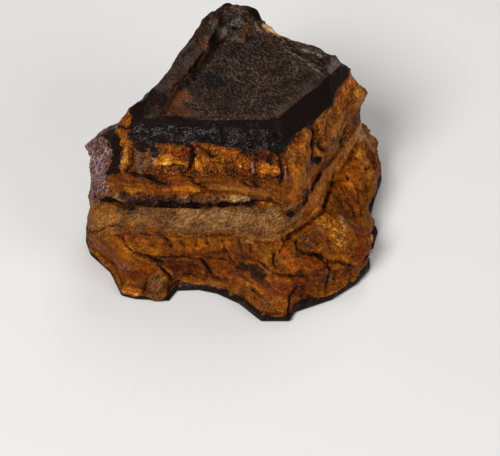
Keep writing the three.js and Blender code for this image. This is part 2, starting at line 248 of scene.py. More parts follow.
# The unbroken skin at a bearing and a tier. Tiers 1 to 8 are the beds' edges, with straight lines
# between them. Below 1 the foot's side bulges by footSwell, and 0.5 to 0 runs under the foot to the
# axis. Above 8 it runs inward over the cap, whose height mixes the flat with the rim's own height.
def skinAt(bearings, tiers):
    place = np.zeros(bearings.shape + (3,))
    axis = np.array(stoneForm["axis"], float)
    outward = np.stack([np.cos(bearings), np.sin(bearings), np.zeros(bearings.shape)], axis=-1)
    for bed in range(7):
        here = (tiers >= bed + 1) & (tiers < bed + 2)
        share = (tiers[here] - bed - 1)[..., None]
        place[here] = edgeAt(bed, bearings[here]) * (1 - share) \
            + edgeAt(bed + 1, bearings[here]) * share
    here = tiers < 1
    edge = edgeAt(0, bearings[here])
    rise = np.clip(tiers[here] * 2 - 1, 0, 1)
    swell = stoneForm["footSwell"] * np.sin(np.pi * rise ** stoneForm["swellPower"])
    edge = edge + outward[here] * swell[..., None]
    edge[..., 2] = rise * beds[0][0]
    inward = np.clip(1 - tiers[here] * 2, 0, 1)[..., None]
    edge[..., :2] = edge[..., :2] * (1 - inward) + axis * inward
    place[here] = edge
    here = tiers >= 8
    edge = edgeAt(7, bearings[here])
    inward = np.clip(tiers[here] - 8, 0, 1)
    spot = edge.copy()
    spot[..., :2] = edge[..., :2] * (1 - inward[..., None]) + axis * inward[..., None]
    knobX, knobY, knobReach = stoneForm["knob"]
    ridge = smooth(besideCrease(spot), -stoneForm["ridgeWidth"], 0)
    knob = 1 - smooth(np.hypot(spot[..., 0] - knobX, spot[..., 1] - knobY), 0, knobReach)
    strip = 1 - smooth(inward, 0, stoneForm["rimStrip"])
    flat = beds[7][0] - stoneForm["capDish"] * smooth(inward, 0, stoneForm["dishReach"])
    keep = np.maximum(np.maximum(ridge, knob), strip)
    spot[..., 2] = flat * (1 - keep) + edge[..., 2] * keep
    place[here] = spot
    return place


# The unbroken skin's points along a path of (bearing in degrees, tier).
def onSkin(path):
    bearings, tiers = np.array(path, float).T
    return skinAt(np.radians(bearings), tiers)


# The unit normal of a closed band of points: the cross product of the way along a row and the way
# up a column, each taken between the neighbours on both sides.
def bandNormals(place):
    along = np.roll(place, -1, axis=1) - np.roll(place, 1, axis=1)
    up = np.gradient(place, axis=0)
    normal = np.cross(along, up)
    return normal / np.maximum(np.linalg.norm(normal, axis=-1, keepdims=True), 1e-9)


# The average of a field over a window of the grid, wrapping round the columns.
def blurred(field, reach):
    total = np.zeros_like(field)
    padded = np.pad(field, ((reach, reach), (0, 0)), mode="edge")
    for row in range(2 * reach + 1):
        total += padded[row:row + field.shape[0]]
    rows = total / (2 * reach + 1)
    return sum(np.roll(rows, step, axis=1) for step in range(-reach, reach + 1)) / (2 * reach + 1)


# The grid's bearings and tiers, one row after another: t - frontShare sin(t - front) round the
# axis, and even steps up each span.
def gridParameters():
    turn = np.linspace(-math.pi, math.pi, stoneForm["columns"], endpoint=False)
    front = math.radians(stoneForm["frontBearing"])
    bearings = turn - stoneForm["frontShare"] * np.sin(turn - front)
    edges = (0, 0.5, 1, 2, 3, 4, 5, 6, 7, 8, 9)
    steps = [low + (high - low) * np.arange(1, rows + 1) / rows
             for low, high, rows in zip(edges[:-1], edges[1:], stoneForm["rows"])]
    tiers = np.concatenate(steps)[:-1]  # the last row is the cap's middle point
    bearings = (bearings + math.pi) % (2 * math.pi) - math.pi
    return np.broadcast_to(bearings, (len(tiers), len(bearings))), \
        np.broadcast_to(tiers[:, None], (len(tiers), len(bearings)))


# How far the coarse break moves the skin: scars, deeper at the back, plus each named form's
# height * exp(-(distance / reach)^2), less the seam's cut at the front.
def coarseBreak(place, tiers):
    back = smooth(place[..., 1], stoneForm["backStart"], stoneForm["backEnd"])
    depth = np.array(stoneForm["scars"])[np.clip(np.floor(tiers).astype(int) - 1, 0, 7)]
    scar = scars(place, stoneForm["scarSize"], 1) \
        + stoneForm["chipShare"] * scars(place, stoneForm["chipSize"], stoneForm["chipStretch"])
    push = blurred(depth, 2) * (1 + stoneForm["backScars"] * back) * scar
    for path, reach, height in forms:
        push += height * np.exp(-(distanceTo(place, path)[0] / reach) ** 2)
    push -= stoneForm["seamDepth"] * between(tiers, *stoneForm["seamTiers"]) * (1 - back)
    return push * smooth(tiers, *stoneForm["breakFrom"])


# Slits and cracks: half width and depth in millimetres, how black each is, and its path of (bearing in
# degrees, tier). The black is painted: the cracks' dark filling, and painted shade in the cut.
slits = [
    # left of the upper block
    (0.4, 0.4, 0.75, (-144, 6.06), (-139, 5.81), (-134, 5.7), (-126, 5.41)),
    (0.3, 0.3, 0.5, (-137, 5.86), (-131, 5.62)),
    (0.22, 0.4, 0.75, (-121, 6.13), (-119, 5.8), (-115, 5.59), (-109, 5.37)),
    # between the columns at the left
    (0.28, 0.35, 0.8, (-147, 6.6), (-143.5, 6.3)), (0.12, 0.3, 0.6, (-140.8, 6.5), (-139.2, 6.15)),
    (0.1, 0.3, 0.5, (-137, 6.45), (-135.5, 6.15)),
    # painted shadow of the step under the brightest strip, in a shallow cut
    (0.14, 0.45, 0.75, (-128.6, 6.34), (-125.4, 6.38), (-120.6, 6.32)),
    # black run down from the bevel
    (0.7, 0.2, 0.75, (-125, 7.03), (-121.5, 6.9)),
    (0.6, 0.4, 0.8, (-121, 6.95), (-119.4, 6.62), (-118.4, 6.26)),
    (0.4, 0.3, 0.6, (-118.4, 6.3), (-119.6, 6.03)),
    # wedge right of it
    (0.2, 0.3, 0.7, (-116, 6.97), (-111, 6.8), (-107, 6.68)),
    (0.3, 0.3, 0.75, (-108, 6.68), (-103.5, 6.74)), (0.13, 0.4, 0.4, (-107, 6.52), (-94, 6.51)),
    (0.09, 0.25, 0.5, (-92.4, 6.23), (-91, 6.31), (-89.7, 6.23), (-91, 6.14), (-92.4, 6.23)),
    # gaps between the gold columns
    (0.1, 0.25, 0.4, (-86.5, 6.5), (-86.3, 6.15)), (0.1, 0.3, 0.5, (-82, 6.5), (-82, 6.12)),
    (0.13, 0.4, 0.75, (-78.4, 6.52), (-78.6, 6.08)),
    (0.2, 0.5, 0.75, (-78.5, 5.93), (-73, 6), (-66, 6.02)),
    (0.36, 0.4, 0.8, (-62.6, 6.9), (-63, 6.58), (-63, 6.35), (-64.2, 6.06), (-66, 5.86)),
    (0.1, 0.3, 0.5, (-60, 6.4), (-61.5, 6)), (0.2, 0.3, 0.7, (-86, 5.6), (-81.5, 5.36)),
    (0.18, 0.3, 0.7, (-80, 5.67), (-78, 5.45)),
    # right-hand face
    (0.55, 0.8, 1, (-29, 6.95), (-29.2, 6.42), (-33, 6), (-37.5, 5.68)),
    (0.55, 0.6, 1, (-38.5, 5.62), (-34, 5.46), (-29.5, 5.2)),
    (0.22, 0.4, 0.85, (-27.5, 5.95), (-28, 5.75), (-26, 5.5)),
    (0.12, 0.3, 0.5, (-11, 6.4), (-15, 6.16), (-22, 5.81)),
    (0.15, 0.35, 0.6, (5, 6.23), (3, 5.67), (0, 5.5)), (0.12, 0.25, 0.45, (15, 6.62), (8, 6.4)),
    (0.12, 0.3, 0.45, (-45, 6.1), (-47, 5.5)),
    # seam
    (0.22, 0.4, 1, (-149, 3.97), (-146, 3.98), (-142.5, 4.25), (-139, 4.18)),
    (0.26, 0.4, 1, (-137, 4.02), (-128, 3.95), (-120, 3.98), (-112, 4.01), (-100, 3.99), (-90, 4),
     (-84, 4.03)),
    # knob on the seam
    (0.42, -0.3, 1, (-138.6, 3.95), (-136, 3.87)),
    (0.5, 0.1, 1, (-84, 4.03), (-81.5, 4.14), (-79, 4.26)),
    (0.16, 0.35, 0.9, (-78, 4.36), (-73, 4.6), (-70, 4.78), (-67.6, 4.7), (-66.6, 4.3)),
    # hook of the seam
    (0.5, -0.15, 1, (-66.5, 4), (-62.5, 3.9)), (0.26, 0.3, 0.9, (-60, 3.88), (-52, 3.85), (-49.5, 3.9)),
    (0.32, 0.5, 0.85, (-49.6, 5.04), (-49.6, 4.4), (-49, 3.95)),
    (0.34, 0.45, 0.6, (-44, 3.9), (-39, 3.92), (-33, 3.93), (-29, 4.3)),
    (0.25, 0.35, 0.45, (-24, 3.92), (-17, 3.9), (-9, 4.8), (1, 5.2)),
    # the next two: painted shade in the crevice under the ribbon's lower edge, in a cut
    (0.28, 0.55, 0.6, (-10, 3.46), (-16, 2.99), (-29, 2.95), (-40, 2.93)),
    (0.25, 0.45, 0.35, (-38, 2.93), (-45, 2.91), (-58, 2.94), (-68, 2.86), (-72, 2.71)),
    (0.2, 0.4, 0.55, (-147, 2.96), (-143, 2.98), (-141, 3.08), (-140, 3.27), (-137, 3.29)),
    (0.12, 0.3, 0.5, (-134, 2.96), (-130, 3), (-120, 3), (-114, 2.94), (-106, 3), (-98, 3),
     (-91, 2.93)),
    (0.15, 0.55, 0.8, (-135, 2.86), (-133, 2.63), (-130, 2.46), (-125, 2.4), (-123, 2.23),
     (-120, 2.06)),
    # down the left of the lower block
    (0.32, 0.6, 0.9, (-123, 2.25), (-120, 2.06), (-117, 1.72), (-115, 1.28), (-115, 0.7)),
    (0.4, 0.25, 0.9, (-123.5, 2.27), (-120, 2.2)),
    (0.27, 0.45, 1, (-121, 2.9), (-119, 2.75), (-118, 2.62)),
    (0.24, 0.3, 0.5, (-126, 2.8), (-123.5, 2.64)),
    (0.14, 0.45, 0.5, (-123, 2.36), (-118, 2.39), (-113, 2.3), (-109, 2.18), (-106, 2.13)),
    (0.22, 0.45, 0.75, (-106, 2.09), (-104, 1.83), (-103, 1.67), (-101, 1.44)),
    (0.24, 0.35, 0.6, (-102.8, 1.58), (-104, 1.27)),
    (0.15, 0.45, 0.5, (-103, 2.14), (-97, 2.14), (-93, 2.04), (-90, 2)),
    (0.12, 0.4, 0.7, (-97, 2.76), (-96, 2.46), (-94.4, 2.34), (-93.4, 2.14)),
    # between the hanging tongues
    (0.13, 0.4, 0.55, (-131.5, 2.88), (-128.8, 2.6)), (0.13, 0.4, 0.55, (-115.6, 2.88), (-113.2, 2.6)),
    (0.13, 0.4, 0.5, (-110.5, 2.9), (-108.5, 2.62)), (0.13, 0.4, 0.5, (-105, 2.88), (-102.5, 2.58)),
    (0.12, 0.35, 0.5, (-100.4, 2.87), (-98.4, 2.6)), (0.12, 0.35, 0.45, (-90, 2.86), (-87.6, 2.5)),
    (0.2, 0.3, 0.75, (-112, 1.5), (-110, 1.42), (-107.5, 1.24)),
    # beside the tan slab, and down it
    (0.25, 0.35, 0.8, (-123.5, 1.55), (-123.5, 1)), (0.1, 0.3, 0.5, (-120.2, 1.6), (-119.8, 0.85)),
    (0.12, 0.3, 0.6, (-118, 1.5), (-117.6, 0.8)), (0.28, 0.2, 0.6, (-114, 1.15), (-113.6, 0.8)),
    # the first is a painted shadow line under a ledge
    (0.2, 0.2, 0.8, (-97, 0.96), (-92, 0.99)), (0.2, 0.3, 0.8, (-85.5, 1.5), (-82, 1.52)),
    (0.12, 0.5, 0.6, (-84, 2.83), (-84, 2.66), (-81, 2.46), (-78, 2.31), (-74, 2.23), (-69, 2.2)),
    (0.14, 0.5, 0.55, (-76, 2.27), (-69, 2.2), (-60, 2.03)),
    (0.14, 0.4, 0.35, (-73, 2.8), (-75, 2.57), (-74.4, 2.32)),
    (0.15, 0.7, 0.8, (-62, 2.78), (-64, 2.66), (-61, 2.51), (-55, 2.34), (-53, 2.22)),
    (0.22, 0.5, 0.6, (-56, 2.33), (-54, 2.2), (-55, 2.03), (-57, 1.56), (-59, 1)),
    (0.14, 0.35, 0.6, (-53, 1.9), (-55, 1.3)), (0.13, 0.3, 0.5, (-57.2, 2.1), (-58.6, 1.5)),
    (0.16, 0.5, 0.6, (-50.5, 2.16), (-48.6, 2), (-47.2, 1.78), (-43, 1.73)),
    # notch at the right
    (0.45, 0.8, 1, (-42.5, 1.72), (-39.5, 1.46)),
    # beside the buttress
    (0.33, 0.6, 1, (-73, 0.9), (-72, 1.32), (-68.5, 1.76)), (0.15, 0.4, 0.8, (-67, 1), (-66, 1.76)),
    # folds of the right-hand lobe
    (0.16, 0.5, 0.85, (-28, 2.5), (-28, 2.31), (-30, 2.11)),
    (0.15, 0.4, 0.6, (-16, 2.6), (-19, 2.34), (-27, 2.06)), (0.3, 0.4, 0.8, (-14, 2.83), (-16, 2.71)),
    (0.1, 0.3, 0.7, (-15, 2.63), (-17, 2.34)), (0.08, 0.25, 0.5, (-47, 2.76), (-44, 2.6), (-41, 2.48)),
    (0.08, 0.25, 0.5, (-50, 2.7), (-47, 2.55), (-45, 2.42)),
    (0.08, 0.25, 0.5, (-55, 2.71), (-54, 2.57), (-51, 2.46)), (0.22, 0.3, 0.8, (-3, 2.8), (-3.4, 2.74)),
    (0.16, 0.35, 0.8, (-7, 2.45), (-3, 2.3)),
    # painted shadow along the foot of the cap's ridge, in a cut
    (0.3, 0.5, 1, (119, 8.3), (130, 8.34), (147, 8.32), (163, 8.33), (179, 8.29), (-168, 8.26),
     (-160, 8.26)), (0.16, 0.3, 0.8, (172, 8.38), (-174, 8.36), (-165, 8.32)),
    (0.14, 0.3, 0.55, (108, 8.17), (121, 8.13), (145, 8.11), (162, 8.06)),
    # round the nodules
    (0.2, 0.3, 0.8, (119, 8.3), (106, 8.32), (98, 8.36)), (0.35, 0.5, 1, (95, 8.29), (90, 8.28)),
    # chips along the cap's right rim
    (0.4, 0.3, 0.85, (38, 8.12), (31, 8.17)), (0.2, 0.45, 0.85, (27, 8.16), (20, 8.21), (13, 8.18)),
    (0.18, 0.4, 0.75, (29, 8.08), (21, 8.11), (16, 8.13)),
    (0.16, 0.3, 0.6, (48, 8.02), (42, 8.08), (37, 8.08)),
    # at the back
    (0.4, 0.8, 1, (128, 7), (132, 5.6), (126, 5)), (0.3, 0.7, 0.9, (165, 3.2), (172, 2.2), (160, 1.4)),
    (0.35, 0.7, 0.9, (70, 3.3), (76, 2.1), (66, 1.3)),
    (0.35, 0.7, 0.9, (40, 6.3), (34, 5.4), (38, 4.6)), (0.4, 0.6, 0.9, (100, 6.6), (104, 5.8)),
    (0.22, 0.5, 0.8, (146, 2.7), (136, 2.3), (130, 2.2)), (0.25, 0.5, 0.8, (108, 1.9), (100, 1.4)),
    (0.25, 0.5, 0.8, (44, 2.6), (52, 2.2), (50, 1.7)),
]

# Lumps: how far each reaches in millimetres, its height, and its path.
lumps = [
    # lower block, left part
    (3.2, 0.9, (-146, 2.6), (-139, 2.55), (-134, 2.3)), (2.4, 0.75, (-132, 1.9), (-124, 1.7)),
    # tan slab
    (1.5, 0.75, (-120, 1.6), (-118.6, 0.9)), (1.3, 0.55, (-129, 1.1), (-125.5, 1)),
    (1.5, 0.6, (-129, 2.72), (-123, 2.66)), (1.7, 0.65, (-117, 2.7), (-111, 2.64)),
    (1.7, 0.6, (-108, 2.62), (-99, 2.58)), (1.5, 0.55, (-94.4, 2.6), (-91, 2.36)),
    (1.2, 0.45, (-89, 2.8), (-86, 2.62)), (2, 0.6, (-115, 1.95), (-108.5, 1.75)),
    (1.2, 0.5, (-111.5, 1.05), (-105, 1)), (1.5, 0.55, (-99, 1.84), (-91, 1.7)),
    (1.5, 0.5, (-100, 1.12), (-91, 1.2)), (1.1, 0.5, (-89, 1.64), (-81, 1.66)),
    # buttress
    (1.9, 0.75, (-85, 1.2), (-76, 1.2)), (1.6, 0.7, (-79, 1.82), (-73.5, 1.86)),
    # small gold lump
    (1.7, 0.75, (-82, 2.72), (-78, 2.64)),
    # orange lump
    (2.1, 1, (-69.6, 2.66), (-68.2, 2.4)), (1.5, 0.7, (-62.5, 2.32), (-58.6, 2.26)),
    (2, 0.8, (-58.6, 2.8), (-55, 2.56)), (1.5, 0.5, (-64, 1.9), (-62, 1.3)),
    (1.5, 0.5, (-50, 1.8), (-51.5, 1.3)),
    # bright lump
    (3.2, 1, (-40, 2.84), (-46, 2.66), (-44, 2.36), (-44, 2.06)),
    (1.7, 0.8, (-23.5, 2.8), (-26, 2.5), (-26.6, 2.3)), (1.4, 0.55, (-18.6, 2.8), (-21.5, 2.4)),
    (2.2, 0.7, (6, 2.78), (-2, 2.72)), (1.8, 0.6, (-10, 2.64), (-12.5, 2.4)),
    (1.8, 0.6, (0, 2.35), (-8, 2.15)), (2.6, 0.7, (20, 2.6), (14, 2.3)), (3, 0.7, (34, 2.7), (30, 2.2)),
    (3.4, 0.8, (56, 2.3), (48, 2.1)), (3.4, 0.8, (86, 2.5), (74, 2.2)),
    (3.2, 0.7, (112, 2.5), (102, 2.1)), (3.6, 0.9, (140, 2.6), (128, 2.3)),
    (3.4, 0.8, (170, 2.5), (158, 2.2)),
    # nodules of the apex
    (1.4, 0.6, (109, 8.18), (104, 8.24)), (1.2, 0.45, (128, 8.2), (130, 8.28)),
    (0.9, 0.6, (92, 8.23), (89, 8.24)), (1.1, 0.35, (91, 8.37), (86, 8.38)),
    (1.2, 0.4, (92, 8.04), (88, 8.12)), (0.9, 0.35, (84, 8.3), (82, 8.24)),
    # low ridge beside the crease
    (0.8, 0.5, (161, 8.34), (176, 8.33), (-176, 8.31)), (1.1, 0.35, (33, 8.04), (25, 8.05)),
]

# Flakes: how far the raised skin reaches, its height, and a path along its edge. The skin on the
# left of the way along the path stands out.
flakes = [
    # the lower block's left part, over its crack
    (2.6, 0.5, (-115, 0.7), (-115, 1.5), (-116, 1.9), (-119, 2.12), (-124, 2.28), (-128, 2.42),
     (-131, 2.6), (-134, 2.87)),
    # the bright lump over what lies under it
    (2.4, 0.6, (-64, 2.68), (-61, 2.52), (-55, 2.3), (-51, 2.18), (-49, 2.12), (-47, 1.82),
     (-43, 1.77), (-40, 1.85)),
    # foot of the bright columns
    (1.3, 0.5, (-137, 6.3), (-129, 6.34), (-120.5, 6.31)),
    (1.5, 0.45, (-79, 5.94), (-73, 6), (-66, 6.03)),
    (1.2, 0.3, (-118, 6.12), (-113, 6.3), (-109, 6.36)),
    (1.4, 0.4, (-107, 6.52), (-100, 6.52), (-93, 6.52)),
    # rounded lip
    (1.6, 0.35, (-90, 5.48), (-105, 5.5), (-118, 5.5), (-134, 5.45), (-146, 5.5)),
    (1.6, 0.35, (-58, 5.4), (-72, 5.45), (-84, 5.42)),
    # right-hand face
    (2.2, -0.5, (-29.2, 6.95), (-29.4, 6.5), (-33, 6), (-38, 5.6)),
    (2.2, 0.45, (-22, 6.8), (-25, 6.2), (-26, 5.8), (-23, 5.35)),
    (2.4, 0.4, (-3, 6.9), (-5, 6.2), (-4, 5.6)),
    # at the back
    (2.4, 0.6, (60, 6.6), (64, 6), (72, 5.7), (76, 5.3)),
    (2.6, 0.6, (112, 6.7), (118, 6.1), (128, 5.9), (134, 5.4)),
    (2.4, 0.5, (152, 6.6), (158, 6.1), (168, 5.9)),
    # chips of the cap's rim
    (2.6, 0.45, (2, 7.98), (9, 8.16), (25, 8.24), (39, 8.18), (52, 8.06)),
    (1.1, -0.3, (16, 8.1), (24, 8.1), (34, 8.09)),
]

# Patches: the reach in millimetres, how much lighter and how much redder each is, and its path.
shades = [
    # left corner
    (0.7, 0.06, 0.6, (-144, 6.98), (-134, 6.88), (-128, 6.74)),
    (0.8, 0.14, 0.1, (-137, 6.56), (-134, 6.4), (-131.5, 6.46)),
    # the brightest columns: paler gold with a painted chatoyant sheen
    (0.6, 0.2, 0.1, (-130, 6.6), (-129.4, 6.34)), (0.42, 0.17, 0.2, (-125.5, 6.46), (-121.4, 6.42)),
    (0.7, 0.12, 0.1, (-116, 6.55), (-112, 6.35), (-109, 6.6)),
    (0.7, -0.08, 0.6, (-131, 6.7), (-123, 6.7)), (0.6, -0.02, 0.6, (-147, 5.65), (-143, 5.66)),
    (0.5, -0.03, 0.6, (-133, 5.68), (-123, 5.64)), (0.75, 0.1, -0.3, (-147, 5.26), (-136, 5.2)),
    (0.5, 0.16, 0.1, (-128, 5.3), (-113, 5.3)), (0.5, 0.14, 0, (-116, 6.5), (-114.5, 6.32)),
    (0.8, 0.15, 0, (-87, 6.45), (-83, 6.32)), (0.9, 0.14, 0.35, (-57, 6.05), (-57, 5.56), (-61, 5.1)),
    (0.75, -0.14, 0.7, (-83, 6.8), (-70, 6.78)),
    # right-hand face
    (1.1, -0.1, 0.8, (-48, 6.82), (-43, 6.72)), (1, 0.1, 0.5, (-42, 6.5), (-43, 6.2)),
    (1.4, 0.08, 0.4, (-24, 6.7), (-20, 6.3)), (1.3, 0.1, 0.6, (13, 6.8), (4, 6.7)),
    (1.2, 0.07, 0.7, (1, 6.55), (-3, 6.45)), (0.5, 0.18, 0.2, (-30.6, 5.8), (-29.6, 5.34)),
    # ribbon's left end
    (0.9, -0.05, 0, (-125, 3.6), (-122, 3.6)), (1.2, 0.07, 0, (-114, 3.67), (-108, 3.6)),
    (1.4, 0.04, 0, (-88, 3.5), (-72, 3.4)),
    # lower block, from the left
    (1.1, -0.05, 0.6, (-130, 1.76), (-123, 1.7)), (1.6, 0.05, 0, (-138, 2.6), (-132, 2.4)),
    (1.1, 0.05, -0.4, (-110, 0.98), (-101, 1.02)),
    (3.4, -0.06, 0.2, (-114, 2.15), (-102, 1.95), (-90, 2.05)),
    (1.7, 0.06, -0.1, (-130, 2.72), (-114, 2.74), (-98, 2.68)),
    (1.5, -0.05, 0.7, (-116, 2.11), (-110, 1.76)), (0.8, 0.04, -0.2, (-111, 1), (-105, 0.97)),
    (1.1, 0.07, 0, (-95.5, 2.57), (-92.6, 2.4)), (0.9, 0.1, 0.3, (-96, 1.6), (-90, 1.5)),
    (0.5, -0.12, 0.8, (-100, 1.34), (-95, 1.37)), (0.5, 0.13, 0.5, (-89, 1.66), (-81, 1.68)),
    (0.3, -0.1, 1, (-87, 1.77), (-84, 1.73)), (1.3, 0, 0.9, (-79, 1.8), (-74, 1.92)),
    (0.7, 0.04, 0.4, (-76.4, 1.32), (-74, 1.25)), (0.55, -0.08, 0.5, (-83, 1), (-75, 1.02)),
    (1.1, 0.03, -0.3, (-81, 2.76), (-77.5, 2.7)), (1.1, 0, 0.9, (-62.4, 2.3), (-59, 2.24)),
    (1.5, -0.02, 0.8, (-38, 2.3), (-41, 2.1), (-45, 1.92)), (0.9, 0.08, 0.4, (-20, 2.6), (-20, 2.4)),
    (0.8, -0.1, 0.5, (-50, 1.62), (-46, 1.6)), (3, -0.04, 0.3, (-72, 2), (-62, 1.7), (-52, 1.5)),
    (1.2, -0.09, 0.7, (-10, 2.69), (-12, 2.46)), (2.6, -0.05, 0, (-36, 2.7), (-26, 2.5)),
    (3.4, 0.16, 0, (-12, 2.7), (-2, 2.5)), (1.4, 0.1, 0.4, (9, 2.8), (5, 2.56)),
    (0.8, 0.12, 0, (2, 2.82), (-1, 2.72)), (0.8, -0.08, 0.5, (9, 2.23), (4, 2.06)),
    (1.2, 0.08, 0, (-152, 8.52), (-138, 8.4), (-128, 8.27), (-110, 8.12), (-84, 8.06)),
    (1.6, 0, 0.25, (150, 8.35), (-179, 8.22), (-163, 8.14)), (0.5, 0, 0.6, (-146, 8.1), (-134, 8.1)),
    (2.2, -0.08, -0.4, (168, 8.42), (-180, 8.6), (160, 8.76)),
    # painted sheen on the left end of the bevel
    (1.4, 0.16, 0, (-152, 7.4), (-142, 7.4)),
    # cap
    (0.25, 0, 0.7, (-126, 8.02), (-100, 8.02), (-70, 8.02)),
    # apex
    (0.9, 0.08, 0.6, (128, 8.22), (130, 8.3)),
    (1.5, 0.07, -0.4, (112, 8.26), (97, 8.24), (90, 8.19), (91, 8.36)),
    (0.8, 0.24, 0, (91, 8.24), (89, 8.23)), (0.9, 0.14, 0.3, (91, 8.38), (86, 8.38)),
    (0.9, 0.14, 0, (91, 8.05), (89, 8.12)), (0.75, 0.08, 0.8, (83, 8.25), (84, 8.31)),
    (0.22, 0.42, 0, (52, 8.06), (39, 8.19), (25, 8.25), (9, 8.18), (3, 8)),
]

